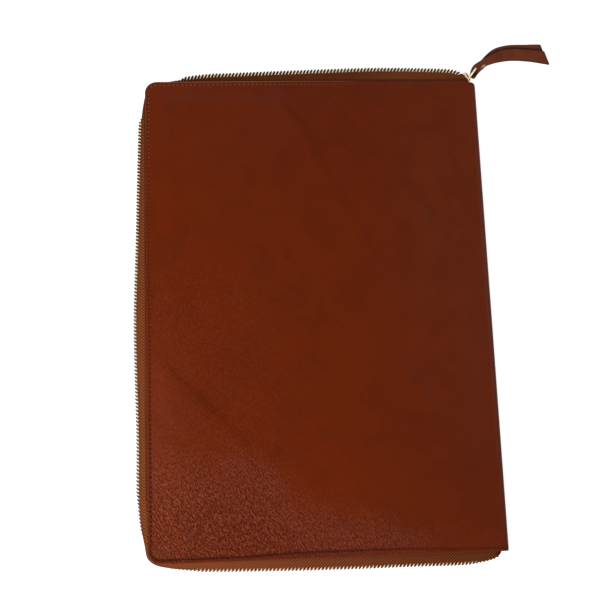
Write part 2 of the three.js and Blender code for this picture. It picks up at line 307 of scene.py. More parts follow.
def rounded_loop(half_width: Array | float, half_height: Array | float, power: float,
                 count: int) -> tuple[Array, Array]:
    """A superellipse: |x / a|^n + |y / b|^n = 1, from its right side round.

    Args:
        half_width: a, a number or one for each section.
        half_height: b, a number or one for each section.
        power: n, where 2 is an ellipse and more is squarer.
        count: Points round the loop.

    Returns:
        The x and y coordinates, with the loop on the last axis.
    """
    turn = (np.arange(count) + 0.5) * 2 * np.pi / count
    x = np.sign(np.cos(turn)) * np.abs(np.cos(turn)) ** (2 / power)
    y = np.sign(np.sin(turn)) * np.abs(np.sin(turn)) ** (2 / power)
    return np.multiply.outer(half_width, x), np.multiply.outer(half_height, y)


@dataclass(frozen=True)
class Clouds:
    """Cloudy noise: clouds for each unit of length, finer layers and their weight, a stretch and a turn."""

    scale: float
    layers: float = 3.0
    weight: float = 0.5
    stretch: tuple[float, float, float] | None = None
    turn_deg: float = 0.0


class Shading:
    """A material's node tree while it is being drawn."""

    def __init__(self, name: str) -> None:
        """Starts an empty node material with a Principled surface.

        Args:
            name: The material's name.
        """
        self.material = bpy.data.materials.new(name)
        self.material.use_nodes = True
        self.tree = self.material.node_tree
        self.tree.nodes.clear()
        output = self.tree.nodes.new("ShaderNodeOutputMaterial")
        self.surface = self.tree.nodes.new("ShaderNodeBsdfPrincipled")
        self.tree.links.new(self.surface.outputs["BSDF"], output.inputs["Surface"])
        self.object_place = self.node("ShaderNodeTexCoord").outputs["Object"]

    @cached_property
    def place(self) -> list[Socket]:
        """The object coordinates X, Y and Z, in metres."""
        return list(self.node("ShaderNodeSeparateXYZ", {0: self.object_place}).outputs)

    def put(self, socket: Socket, value: Socket | float | Sequence[float]) -> None:
        """Links a socket to another, or sets its own value.

        Args:
            socket: The input to feed.
            value: Another socket, a number or a row of numbers.
        """
        if isinstance(value, bpy.types.NodeSocket):
            self.tree.links.new(value, socket)
        else:
            socket.default_value = value

    def node(self, kind: str, inputs: dict[str | int, object] | None = None,
             **settings: object) -> bpy.types.Node:
        """Adds a node.

        Args:
            kind: Blender's name for the node type.
            inputs: Sockets by name or number, with a value or another socket.
            **settings: Attributes of the node.

        Returns:
            The new node.
        """
        made = self.tree.nodes.new(kind)
        for key, value in settings.items():
            setattr(made, key, value)
        for key, value in (inputs or {}).items():
            self.put(made.inputs[key], value)
        return made

    def math(self, operation: str, *values: Socket | float) -> Socket:
        """A Math node's result for up to three values."""
        return self.node("ShaderNodeMath", dict(enumerate(values)), operation=operation).outputs[0]

    def product(self, *values: Socket | float) -> Socket:
        """All the values multiplied, from the first on."""
        return reduce(partial(self.math, "MULTIPLY"), values)

    def scaled(self, value: Socket, factor: Socket | float, added: Socket | float) -> Socket:
        """A value times a factor, with something added."""
        return self.math("MULTIPLY_ADD", value, factor, added)

    def mark(self, name: str) -> Socket:
        """The value of one of the mesh's own marks."""
        return self.node("ShaderNodeAttribute", attribute_name=name).outputs["Fac"]

    def stretched(self, scale: Sequence[float], turn_deg: float) -> Socket:
        """Object coordinates turned about Z and then scaled.

        Args:
            scale: Factors along the turned axes.
            turn_deg: The turn about Z.

        Returns:
            The mapped vector.
        """
        inputs = {"Vector": self.object_place, "Rotation": (0, 0, np.radians(turn_deg))}
        turned = self.node("ShaderNodeMapping", inputs).outputs[0]
        return self.node("ShaderNodeMapping", {"Vector": turned, "Scale": scale}).outputs[0]

    def clouds(self, kind: Clouds, output: str = "Fac") -> Socket:
        """Cloudy noise on object coordinates.

        Args:
            kind: The noise, with its stretch and turn if it has them.
            output: Fac for a value between 0 and 1, Color for three of them.

        Returns:
            The noise.
        """
        vector = self.stretched(kind.stretch, kind.turn_deg) if kind.stretch else self.object_place
        inputs = {"Vector": vector, "Scale": kind.scale, "Detail": kind.layers, "Roughness": kind.weight}
        return self.node("ShaderNodeTexNoise", inputs).outputs[output]

    def fade(self, value: Socket, step: Fade) -> Socket:
        """A smooth step of a value.

        Args:
            value: What the step follows.
            step: Its limits and its two levels.

        Returns:
            The level at the value.
        """
        inputs = {"Value": value, **step.sockets()}
        return self.node("ShaderNodeMapRange", inputs, interpolation_type="SMOOTHSTEP").outputs[0]

    def low_left(self) -> Socket:
        """How far a place lies towards the lower left corner: the sum of X and Y times their weights."""
        weighed = (self.product(axis, weight) for axis, weight in zip(self.place, LOW_LEFT_WEIGHTS))
        return self.math("ADD", *weighed)

    def mixed(self, factor: Socket | float, first: Socket | Colour, second: Socket | Colour) -> Socket:
        """One colour going over to another.

        Args:
            factor: 0 for the first colour, 1 for the second.
            first: A colour or a socket.
            second: A colour or a socket.

        Returns:
            The mixed colour.
        """
        made = self.node("ShaderNodeMix", {0: factor}, data_type="RGBA")
        for index, colour in zip(MIX_COLOUR_SOCKETS, (first, second)):
            self.put(made.inputs[index], colour if isinstance(colour, bpy.types.NodeSocket) else (*colour, 1.0))
        return made.outputs[MIX_COLOUR_RESULT]

    def coated(self, colour: Socket, coats: Sequence[tuple[Socket, Colour]]) -> Socket:
        """Lays coats over a colour, one after the other.

        Args:
            colour: The colour below.
            coats: The strength, from 0 to 1, and the colour of each coat.

        Returns:
            The colour after the last coat.
        """
        for strength, coat in coats:
            colour = self.mixed(strength, colour, coat)
        return colour

    def relief(self, height: Socket, depth_mm: float) -> Socket:
        """A bump normal from a height whose unit stands for depth_mm."""
        inputs = {"Height": height, "Distance": depth_mm * MM, "Strength": 1.0}
        return self.node("ShaderNodeBump", inputs).outputs[0]

    def finish(self, **sockets: object) -> bpy.types.Material:
        """Sets the surface's sockets, named with underscores for spaces.

        Args:
            **sockets: Values or sockets for the Principled surface.

        Returns:
            The finished material.
        """
        for key, value in sockets.items():
            wanted = key.replace("_", " ")
            self.put(next(s for s in self.surface.inputs if s.name.lower() == wanted), value)
        return self.material


@dataclass(frozen=True)
class Area:
    """An area in plan with soft borders: the product of its fades along X and Y, in metres."""

    x: tuple[Fade, ...]
    y: tuple[Fade, ...]

    def on(self, draw: Shading) -> Socket:
        """The area's strength on the material being drawn.

        Args:
            draw: The material being drawn.

        Returns:
            The strength.
        """
        along_x = [draw.fade(draw.place[0], step) for step in self.x]
        along_y = [draw.fade(draw.place[1], step) for step in self.y]
        return draw.product(*along_x, *along_y)


@dataclass(frozen=True)
class CoverLeather:
    """Waxed chestnut leather: pebbled grain, diagonal wrinkles, a seam groove, worn edges, painted light and
    shade.

    Fades in plan are in metres, those from the edge or the groove in millimetres.
    """

    base: Colour = (0.0995, 0.01190, 0.00165)
    deep: Colour = (0.0875, 0.01170, 0.00280)
    # Painted sheen: a greyer dim tone towards the right stands in for a reflected veil.
    painted_sheen_grey: Colour = (0.0885, 0.01380, 0.00410)
    # Painted highlight: lighter, pinker leather on the grain's tops and along the left.
    painted_light_warm: Colour = (0.2200, 0.04700, 0.01750)
    # Painted shade in the grain's clefts.
    painted_crevice_shade: Colour = (0.0640, 0.00560, 0.00080)
    # A dimmer tone for random patches, and painted shade on the lower right.
    dim: Colour = (0.0700, 0.00980, 0.00270)
    # Painted shade inside the needle holes.
    hole: Colour = (0.0160, 0.00350, 0.00090)
    flesh: Colour = (0.2000, 0.08000, 0.03800)
    # Dark edge colour: painted shade in the groove and under the top lip, and the rim's dark wall.
    edge: Colour = (0.0400, 0.00900, 0.00200)
    # A worn rim colour that is also a painted highlight on the rim.
    rub_and_painted_highlight: Colour = (0.1900, 0.06200, 0.03200)
    lit_edge: Colour = (0.3400, 0.09500, 0.05000)
    roughness: float = 0.30
    cloud_roughness: float = 0.10
    groove_roughness: float = 0.35
    gloss: float = 0.045
    relief_mm: float = 0.42
    groove_mm: float = 2.7
    stitch_mm: float = 3.2

    worn_later: tuple[Fade, Fade] = (Fade(-0.06, 0.0, 0.0, 0.040), Fade(0.0, 0.1, 0.0, 0.035))
    worn_border: Clouds = Clouds(30.0, 3.0, 0.6)
    worn_border_by: float = 0.04
    worn_down: Fade = Fade(-0.044, -0.135)
    worn_left: Area = Area((Fade(0.01, -0.06, 0.0, 0.20),), (Fade(0.07, 0.0),))
    worn_bottom: Area = Area((Fade(0.115, 0.025),), (Fade(-0.140, -0.162, 0.0, 0.65),))

    pebble_mm: float = 2.2
    pebble_stretch: tuple[float, float, float] = (1.0, 2.5, 1.0)
    pebble_turn_deg: float = 60.0
    pebble_drift: Clouds = Clouds(300.0, 2.0)
    pebble_drift_by: tuple[float, float, float] = (0.0018, 0.0018, 0.0)
    pebble_softness: float = 0.30
    pebble_top: Fade = Fade(0.72, 0.08)
    pebble_height: tuple[float, float] = (0.95, 0.03)
    wrinkles: Clouds = Clouds(1.0, 1.0, 0.5, (290.0, 960.0, 290.0), 60.0)
    wrinkle_top: Fade = Fade(0.32, 0.70)
    wrinkle_height: tuple[float, float] = (1.3, 0.03)
    wrinkle_share: float = 0.35
    folds: Clouds = Clouds(1.0, 2.0, 0.5, (26.0, 95.0, 26.0), 50.0)
    fold_height: float = 1.5

    groove_sharp: Fade = Fade(-0.150, -0.164, -2.8, -1.5)
    # Painted shade along the seam's groove, stronger towards the left and the bottom.
    groove_painted_shade: Area = Area((Fade(0.10, -0.02, 0.35, 1.0),), (Fade(0.06, -0.15, 0.25, 1.0),))
    hole_dot: Fade = Fade(0.46, 0.10)
    hole_depth: float = 0.8
    # Painted shade in the needle holes, stronger towards the left.
    hole_painted_shade: Area = Area(
        (Fade(0.09, -0.09, 0.15, 0.95), Fade(0.1135, 0.1125)),
        (Fade(0.145, 0.164, 1.0, 0.5), Fade(-0.145, -0.164, 1.0, 0.12), Fade(-0.10, -0.03, 1.0, 0.60)),
    )
    hole_patches: Fade = Fade(0.40, 0.58, 0.45, 1.10)

    clouds: Clouds = Clouds(16.0, 4.0, 0.6)
    # Painted light: the base tone lightens towards the lower left, where the light falls.
    painted_light_low_left: Fade = Fade(-0.90, 0.90)
    painted_light_share: float = 0.5
    tone: Fade = Fade(0.20, 0.75)
    painted_sheen_right: Fade = Fade(0.02, 0.09)
    patches: Clouds = Clouds(48.0, 3.0, 0.6)
    dim_patches: Fade = Fade(0.56, 0.36, 0.0, 0.35)
    open_inside: Fade = Fade(-0.5, 1.0)
    # Painted highlights on the open grain's tops, weaker to the right, and painted shade in its clefts.
    painted_highlight_left: Fade = Fade(-0.105, -0.03, 1.0, 0.70)
    painted_highlight_tops: Fade = Fade(0.42, 0.92, 0.0, 0.86)
    painted_cleft_shade: Fade = Fade(0.48, 0.16, 0.0, 0.86)
    # Painted light along the lower left side.
    painted_light_left: Area = Area((Fade(-0.075, -0.118, 0.0, 0.11),), (Fade(0.03, -0.08),))
    # Painted shade on the lower right.
    painted_shade_right: Area = Area((Fade(-0.03, 0.11, 0.0, 0.40),), (Fade(0.02, -0.12),))
    # The rim's worn look and painted highlight, along the top edge and round the lower left corner.
    rub_highlight_edge: Fade = Fade(0.80, 0.10)
    rub_highlight_clouds: Fade = Fade(0.25, 0.75, 0.3, 0.9)
    rub_highlight_top: Fade = Fade(0.120, 0.155, 0.12, 1.0)
    rub_highlight_corner: Fade = Fade(-0.272, -0.280)
    lit_rim: Fade = Fade(0.75, 0.25, 0.0, 0.75)
    lit_top: Area = Area((Fade(0.04, -0.05),), (Fade(0.155, 0.168),))
    # Painted shade: a dark line on the rim at the top right, where the tape meets the leather.
    lip_painted_shade: Fade = Fade(1.1, 0.3, 0.0, 0.85)
    lip_shade_top: Area = Area((Fade(0.02, 0.06),), (Fade(0.155, 0.165),))
    rim_dark: Fade = Fade(0.10, 0.45)

    def wear(self, draw: Shading) -> Socket:
        """Where the leather is handled most, from 0 to 1.

        A step downwards that starts later towards the right, with a ragged border, or a faint level along the
        left or a band along the bottom seam where that is more.

        Args:
            draw: The material being drawn.

        Returns:
            The wear.
        """
        x, y, _ = draw.place
        later = draw.math("ADD", *(draw.fade(x, step) for step in self.worn_later))
        reach = draw.scaled(draw.clouds(self.worn_border), self.worn_border_by, draw.math("ADD", y, later))
        sides = draw.math("MAXIMUM", self.worn_left.on(draw), self.worn_bottom.on(draw))
        return draw.math("MAXIMUM", draw.fade(reach, self.worn_down), sides)

    def grain(self, draw: Shading, worn: Socket) -> tuple[Socket, Socket]:
        """The leather's relief: smooth Voronoi pebbles, ridged wrinkle lines and broad folds, all slanted.

        Args:
            draw: The material being drawn.
            worn: Where the grain is open.

        Returns:
            The height and the tops of pebbles and lines, from 0 to 1.
        """
        slanted = draw.stretched(self.pebble_stretch, self.pebble_turn_deg)
        inputs = {0: draw.clouds(self.pebble_drift, "Color"), 1: self.pebble_drift_by, 2: slanted}
        bent = draw.node("ShaderNodeVectorMath", inputs, operation="MULTIPLY_ADD").outputs[0]
        inputs = {"Vector": bent, "Scale": 1 / (self.pebble_mm * MM), "Smoothness": self.pebble_softness}
        cells = draw.node("ShaderNodeTexVoronoi", inputs, feature="SMOOTH_F1", voronoi_dimensions="2D")
        pebbles = draw.fade(cells.outputs["Distance"], self.pebble_top)
        lines = draw.fade(draw.clouds(self.wrinkles), self.wrinkle_top)
        pebbled = draw.product(pebbles, draw.scaled(worn, *self.pebble_height))
        wrinkled = draw.product(lines, draw.scaled(draw.product(worn, worn), *self.wrinkle_height))
        tops = draw.scaled(pebbles, 1 - self.wrinkle_share, draw.product(lines, self.wrinkle_share))
        return draw.scaled(draw.clouds(self.folds), self.fold_height, draw.math("ADD", pebbled, wrinkled)), tops

    def seam(self, draw: Shading, off: Socket) -> tuple[Socket, Socket]:
        """The seam's groove, exp(-k d^2) at d from its line, and a round needle hole at each stitch.

        Args:
            draw: The material being drawn.
            off: Distance from the groove's line in millimetres.

        Returns:
            The groove and the holes, from 0 to 1.
        """
        squared = draw.math("POWER", off, 2.0)
        groove = draw.math("EXPONENT", draw.product(squared, draw.fade(draw.place[1], self.groove_sharp)))
        share = draw.math("FRACT", draw.math("DIVIDE", draw.mark("seam_mm"), self.stitch_mm))
        along = draw.product(draw.math("SUBTRACT", share, 0.5), self.stitch_mm)
        holes = draw.fade(draw.math("ADD", squared, draw.math("POWER", along, 2.0)), self.hole_dot)
        return groove, holes

    def material(self) -> bpy.types.Material:
        """Draws the leather on Object coordinates and the cover's own marks.

        Returns:
            The material.
        """
        draw = Shading("chestnut leather")
        x, y, _ = draw.place
        edge = draw.mark("edge_mm")
        off = draw.math("SUBTRACT", edge, self.groove_mm)
        worn = self.wear(draw)
        height, tops = self.grain(draw, worn)
        groove, holes = self.seam(draw, off)
        clouds, patch = draw.clouds(self.clouds), draw.clouds(self.patches)
        # Painted light: the tone is lighter towards the lower left and darker away from it.
        painted_light_low_left = draw.fade(draw.low_left(), self.painted_light_low_left)
        tone = draw.scaled(painted_light_low_left, self.painted_light_share, draw.product(clouds, 1 - self.painted_light_share))
        # The shaded tone greys towards the right: a painted sheen.
        shaded = draw.mixed(draw.fade(x, self.painted_sheen_right), self.deep, self.painted_sheen_grey)
        opened = draw.product(worn, draw.fade(off, self.open_inside))
        # Painted highlights on the grain's tops, weaker to the right.
        painted_highlight = draw.product(opened, draw.fade(x, self.painted_highlight_left))
        # The rim is lighter along the top and at the lower left corner: wear and a painted highlight.
        low_corner = draw.fade(draw.math("ADD", x, y), self.rub_highlight_corner)
        handled = draw.math("MAXIMUM", draw.fade(y, self.rub_highlight_top), low_corner)
        rub_and_painted_highlight = draw.product(draw.fade(edge, self.rub_highlight_edge), draw.fade(clouds, self.rub_highlight_clouds), handled)
        # Coats: painted highlights on grain tops, the left and the rim, painted shade in clefts, the groove,
        # the needle holes, the lower right and the top lip.
        colour = draw.coated(draw.mixed(draw.fade(tone, self.tone), shaded, self.base), (
            (draw.fade(patch, self.dim_patches), self.dim),
            (draw.product(painted_highlight, draw.fade(tops, self.painted_highlight_tops)), self.painted_light_warm),
            (draw.product(opened, draw.fade(tops, self.painted_cleft_shade)), self.painted_crevice_shade),
            (self.painted_light_left.on(draw), self.painted_light_warm),
            (self.painted_shade_right.on(draw), self.dim),
            (draw.product(groove, self.groove_painted_shade.on(draw)), self.edge),
            (draw.product(holes, self.hole_painted_shade.on(draw), draw.fade(patch, self.hole_patches)), self.hole),
            (rub_and_painted_highlight, self.rub_and_painted_highlight),
            (draw.product(draw.fade(edge, self.lit_rim), self.lit_top.on(draw)), self.lit_edge),
            (draw.product(draw.fade(edge, self.lip_painted_shade), self.lip_shade_top.on(draw)), self.edge),
            (draw.fade(draw.mark("rim"), self.rim_dark), self.edge),
            (draw.mark("flesh"), self.flesh),
        ))
        rough = draw.scaled(clouds, self.cloud_roughness, self.roughness)
        rough = draw.scaled(groove, self.groove_roughness, rough)
        height = draw.math("SUBTRACT", height, draw.product(holes, self.hole_depth))
        return draw.finish(base_color=colour, roughness=rough, normal=draw.relief(height, self.relief_mm),
                           specular_ior_level=self.gloss)


@dataclass(frozen=True)
class StrapLeather:
    """Oiled strap leather with a fine grain, dark burnished edges, painted shade and one painted highlight
    streak.
    """

    base: Colour = (0.1060, 0.0230, 0.0078)
    deep: Colour = (0.0860, 0.0165, 0.0052)
    # Painted shadow that the front layer casts on the back layer.
    under: Colour = (0.0200, 0.0038, 0.0010)
    # Dark burnished edges, also used as painted shade at the fold and round the ring's hole.
    edge: Colour = (0.0140, 0.0030, 0.0012)
    # Painted highlight: the pale streak where the strap bends.
    rub_and_painted_highlight: Colour = (0.5200, 0.2600, 0.1900)
    clouds: Clouds = Clouds(90.0, 4.0, 0.6)
    tone: Fade = Fade(0.30, 0.70)
    grain: Clouds = Clouds(1300.0, 3.0, 0.6)
    cloud_height: float = 1.5
    relief_mm: float = 0.10
    roughness: float = 0.30
    cloud_roughness: float = 0.12
    gloss: float = 0.22

    def material(self) -> bpy.types.Material:
        """Draws the strap on Object coordinates and the strap's own marks.

        Returns:
            The material.
        """
        draw = Shading("strap leather")
        clouds = draw.clouds(self.clouds)
        # Painted shadow on the back layer, dark edges with painted shade, and a painted highlight streak.
        colour = draw.coated(draw.mixed(draw.fade(clouds, self.tone), self.deep, self.base), (
            (draw.mark("under"), self.under), (draw.mark("dark_edge_and_shade"), self.edge), (draw.mark("rub_and_painted_highlight"), self.rub_and_painted_highlight),
        ))
        height = draw.scaled(clouds, self.cloud_height, draw.clouds(self.grain))
        rough = draw.scaled(clouds, self.cloud_roughness, self.roughness)
        return draw.finish(base_color=colour, roughness=rough, normal=draw.relief(height, self.relief_mm),
                           specular_ior_level=self.gloss)


@dataclass(frozen=True)
class WovenTape:
    """Reddish tan zip tape: a herringbone whose ribs turn back along one line.

    Fades in plan are in metres, the ribs' sizes in millimetres.
    """

    light: Colour = (0.1900, 0.0520, 0.0180)
    dark: Colour = (0.0170, 0.0036, 0.0010)
    rib_mm: float = 2.1
    slant: float = -1.0
    turn_mm: Fade = Fade(-0.112, -0.119, -2.0, 1.9)
    on_left: Fade = Fade(-0.112, -0.119)
    contrast: Fade = Fade(-0.08, 0.01, 0.45, 1.05)
    contrast_left: float = 0.85
    tone: float = 0.45
    fibres: Clouds = Clouds(2600.0, 2.0, 0.6)
    fibre_tone: float = 0.14
    clouds: Clouds = Clouds(60.0, 3.0, 0.6)
    cloud_tone: tuple[float, float] = (0.4, 0.80)
    lit_corner: Fade = Fade(0.0, 1.15, 0.72, 1.42)
    lit_far: Area = Area((Fade(0.02, 0.07, 0.0, 0.40),), (Fade(0.0, 0.1),))
    lit_left: Fade = Fade(0.0, 0.12, 0.10, 0.32)
    shaded: Fade = Fade(1.0, 0.0, 0.06, 1.0)
    rib_height: float = 0.8
    fibre_height: float = 0.25
    relief_mm: float = 0.16
    roughness: float = 0.86
    gloss: float = 0.0

    def material(self) -> bpy.types.Material:
        """Draws ribs as a sine of the tape's run plus its distance from the turning line.

        Returns:
            The material.
        """
        draw = Shading("herringbone tape")
        x, y, _ = draw.place
        away = draw.math("ABSOLUTE", draw.math("SUBTRACT", draw.mark("beyond_mm"), draw.fade(x, self.turn_mm)))
        phase = draw.math("DIVIDE", draw.scaled(away, self.slant, draw.mark("run_mm")), self.rib_mm)
        ribs = draw.scaled(draw.math("SINE", draw.product(phase, 2 * np.pi)), 0.5, 0.5)
        fibres = draw.clouds(self.fibres)
        left = draw.fade(x, self.on_left)
        contrast = draw.math("MAXIMUM", draw.product(left, self.contrast_left), draw.fade(x, self.contrast))
        plain = draw.scaled(fibres, self.fibre_tone, self.tone)
        woven = draw.scaled(draw.math("SUBTRACT", ribs, 0.5), contrast, plain)
        lit = draw.scaled(left, draw.fade(y, self.lit_left), self.lit_far.on(draw))
        lit = draw.math("ADD", lit, draw.fade(draw.low_left(), self.lit_corner))
        cloudy = draw.scaled(draw.clouds(self.clouds), *self.cloud_tone)
        tone = draw.product(woven, cloudy, lit, draw.fade(draw.mark("shade"), self.shaded))
        height = draw.scaled(ribs, self.rib_height, draw.product(fibres, self.fibre_height))
        return draw.finish(base_color=draw.mixed(tone, self.dark, self.light), roughness=self.roughness,
                           normal=draw.relief(height, self.relief_mm), specular_ior_level=self.gloss)


@dataclass(frozen=True)
class Brass:
    """Pale polished brass, dark where the piece is marked for painted shade, with a tarnish colour."""

    bright: Colour = (0.97, 0.78, 0.53)
    dull: Colour = (0.80, 0.57, 0.33)
    # Painted shade, in the colour of dark tarnish.
    shade_and_patina: Colour = (0.038, 0.015, 0.003)
    clouds: Clouds = Clouds(260.0, 4.0, 0.6)
    tone: Fade = Fade(0.25, 0.65)
    scratches: Clouds = Clouds(1.0, 2.0, 0.6, (5000.0, 700.0, 5000.0), 35.0)
    relief_mm: float = 0.012
    metal: float = 0.26
    roughness: float = 0.26
    scratch_roughness: float = 0.16
    patina_roughness: float = 0.45
    gloss: float = 0.10

    def material(self) -> bpy.types.Material:
        """Draws the metal with cloudy tone, painted shade in a tarnish colour where marked and a faint
        scratched relief.

        Returns:
            The material.
        """
        draw = Shading("pale brass")
        scratches, darkened = draw.clouds(self.scratches), draw.mark("shade_and_patina")
        clean = draw.mixed(draw.fade(draw.clouds(self.clouds), self.tone), self.dull, self.bright)
        rough = draw.scaled(scratches, self.scratch_roughness, self.roughness)
        rough = draw.scaled(darkened, self.patina_roughness, rough)
        return draw.finish(base_color=draw.mixed(darkened, clean, self.shade_and_patina), roughness=rough,
                           metallic=draw.scaled(darkened, -self.metal, self.metal),
                           normal=draw.relief(scratches, self.relief_mm), specular_ior_level=self.gloss)


@dataclass(frozen=True)
class WaxedThread:
    """Tan waxed sewing thread with two twisted plies."""

    pale: Colour = (0.2600, 0.0900, 0.0400)
    light: Colour = (0.1500, 0.0340, 0.0120)
    dark: Colour = (0.0650, 0.0110, 0.0030)
    twist_per_mm: float = 7.0
    relief_mm: float = 0.08
    roughness: float = 0.6
    gloss: float = 0.05

    def material(self) -> bpy.types.Material:
        """Draws the twist as slanted bands from the stitch's own marks.

        Returns:
            The material.
        """
        draw = Shading("waxed thread")
        turn = draw.scaled(draw.mark("length_mm"), self.twist_per_mm, draw.mark("round"))
        twist = draw.scaled(draw.math("SINE", turn), 0.5, 0.5)
        tone = draw.mixed(draw.mark("pale"), self.light, self.pale)
        return draw.finish(base_color=draw.mixed(twist, self.dark, tone), roughness=self.roughness,
                           normal=draw.relief(twist, self.relief_mm), specular_ior_level=self.gloss)


@dataclass(frozen=True)
class Crease:
    """One ridge (positive height) or hollow of the front panel, in plan, with a width for each flank."""

    x: float
    y: float
    angle_deg: float
    length: float
    left_width: float
    right_width: float
    height: float

    def at(self, x: Array, y: Array) -> Array:
        """Its height at points in plan: a ridge that fades at both ends.

        Args:
            x: Positions along X.
            y: Positions along Y.

        Returns:
            height times exp(-(2u / length)^4 - (2v / width)^2), u along the ridge and v across it.
        """
        turn = np.radians(self.angle_deg)
        u = (x - self.x) * np.cos(turn) + (y - self.y) * np.sin(turn)
        v = (y - self.y) * np.cos(turn) - (x - self.x) * np.sin(turn)
        width = np.where(v > 0, self.right_width, self.left_width)
        return self.height * np.exp(-((2 * u / self.length) ** 4) - (2 * v / width) ** 2)


@dataclass(frozen=True)
class Wave:
    """Shallow waves with swaying crests."""

    length: float
    sway: float
    sway_length: float
    phase: float = 0.0

    def at(self, across: Array, along: Array) -> Array:
        """The waves at points in plan: sin(a / length + sway sin(b / sway_length) + phase)."""
        return np.sin(across / self.length + self.sway * np.sin(along / self.sway_length) + self.phase)


@dataclass(frozen=True)
class CoverForm:
    """The folded cover's outline, wall and relief."""

    width: float = 243.9
    height: float = 340.0
    edge_z: float = 10.5
    wall: float = 1.8
    free_corner: float = 8.5
    fold_corner_top: float = 3.5
    fold_sag_top: float = 1.9
    sag_from: float = 11.0
    sag_to: float = 3.5
    fold_corner_bottom: float = 1.5
    swell: float = 3.4
    swell_rise: float = 85.0
    seam_shift: float = 1.6
    shift_from_left: Fade = Fade(-70.0, -10.0)
    shift_from_right: Fade = Fade(105.0, 40.0)
    shift_down: Fade = Fade(-145.0, -158.0)
    shift_inside: Fade = Fade(0.5, 2.5)
    seam_corner_steps: int = 24
    seam_probe: float = 0.5
    left_reach: float = 60.0
    puff: Fade = Fade(2.6, 20.0, 0.0, 1.10)
    puff_from_fold: Fade = Fade(0.0, 25.0)
    wave_height: float = 0.10
    wave_x: Wave = Wave(19.0, 1.3, 41.0)
    wave_y: Wave = Wave(27.0, 1.1, 33.0, 0.7)
    flat_border: Fade = Fade(2.0, 14.0)
    creases: tuple[Crease, ...] = (
        Crease(-96.0, -53.8, -45, 106, 40, 6.5, 1.20),
        Crease(-102, -96, -60, 100, 46, 46, 0.70),
        Crease(-9.8, 131.2, -58, 52, 16, 5.5, 0.62),
        Crease(16.2, 77.2, -60, 92, 20, 8.0, 0.55),
        Crease(78, 83, -57, 64, 11, 13, -0.85),
        Crease(66.3, -57, -60, 46, 18, 5.5, 0.60),
        Crease(-58, -52.6, -23, 24, 7, 4.0, 0.26),
        Crease(-105.1, 121.1, -8.5, 17, 5, 3.0, 0.16),
        Crease(-112, -155, 45, 22, 14, 14, -0.60),
    )

    @property
    def half_w(self) -> float:
        """Half the width."""
        return self.width / 2

    @property
    def half_h(self) -> float:
        """Half the height."""
        return self.height / 2

    @property
    def mid_z(self) -> float:
        """Height of the fold's middle and of the zip's chain."""
        return self.edge_z / 2

    @property
    def fold_x(self) -> float:
        """Where the flat panels end and the fold starts."""
        return self.half_w - self.edge_z / 2

    @property
    def corner_x(self) -> float:
        """X of the free corners' centres."""
        return self.free_corner - self.half_w

    @property
    def corner_y(self) -> float:
        """Distance of the free corners' centres from the middle along Y."""
        return self.half_h - self.free_corner

    def end_y(self, x: Array, fold_corner: float, sag: float = 0.0) -> Array:
        """The outline's end at x: the half height less a quarter circle at each corner.

        Near the fold it also sags by a smooth step.

        Args:
            x: Positions along X.
            fold_corner: Corner radius on the folded side.
            sag: How far the outline sags at the fold.

        Returns:
            Distances from the middle.
        """
        free = np.clip(x + self.half_w, 0, self.free_corner)
        fold = np.clip(self.half_w - x, 0, fold_corner)
        free_cut = self.free_corner - np.sqrt(self.free_corner**2 - (self.free_corner - free) ** 2)
        fold_cut = fold_corner - np.sqrt(fold_corner**2 - (fold_corner - fold) ** 2)
        sagged = sag * ease(x, self.half_w - self.sag_from, self.half_w - self.sag_to)
        return self.half_h - free_cut - fold_cut - sagged

    def relief(self, x: Array, y: Array) -> Array:
        """Height of the front panel over its edge.

        A broad swell rises smoothly from all four sides, after a short puff inside the seam.
        Creases and shallow waves lie on it.

        Args:
            x: Positions along X.
            y: Positions along Y.

        Returns:
            Heights over the panel's edge.
        """
        across = ease(x + self.half_w, 0, self.swell_rise) * ease(self.fold_x - x, 0, self.swell_rise)
        along = ease(self.half_h - np.abs(y), 0, self.swell_rise)
        inside = np.minimum(np.minimum(x + self.half_w, self.fold_x - x), self.half_h - np.abs(y))
        creases = sum(crease.at(x, y) for crease in self.creases)
        waves = self.wave_height * self.wave_x.at(x, y) * self.wave_y.at(y, x)
        puff = self.puff.at(self.seam_distance(x, y)) * self.puff_from_fold.at(self.fold_x - x)
        return self.swell * across * along + puff + (creases + waves) * self.flat_border.at(inside)

    def edge_distance(self, x: Array, y: Array) -> Array:
        """Distance from the nearest free edge, round corners included.

        Args:
            x: Positions along X.
            y: Positions along Y.

        Returns:
            Distances, positive inside.
        """
        over_x, over_y = self.corner_x - x, np.abs(y) - self.corner_y
        straight = self.free_corner - np.maximum(over_x, over_y)
        rounded = self.free_corner - np.hypot(over_x, over_y)
        return np.where((over_x > 0) & (over_y > 0), rounded, straight)

    def seam_distance(self, x: Array, y: Array) -> Array:
        """Distance from the free edge, less where the seam lies further in.

        It does so near the middle of the bottom edge, by a smooth step from each side.

        Args:
            x: Positions along X.
            y: Positions along Y.

        Returns:
            Distances that are the same everywhere on the seam.
        """
        edge = self.edge_distance(x, y)
        between = self.shift_from_left.at(x) * self.shift_from_right.at(x)
        shift = self.seam_shift * between * self.shift_down.at(y)
        return edge - shift * self.shift_inside.at(edge)

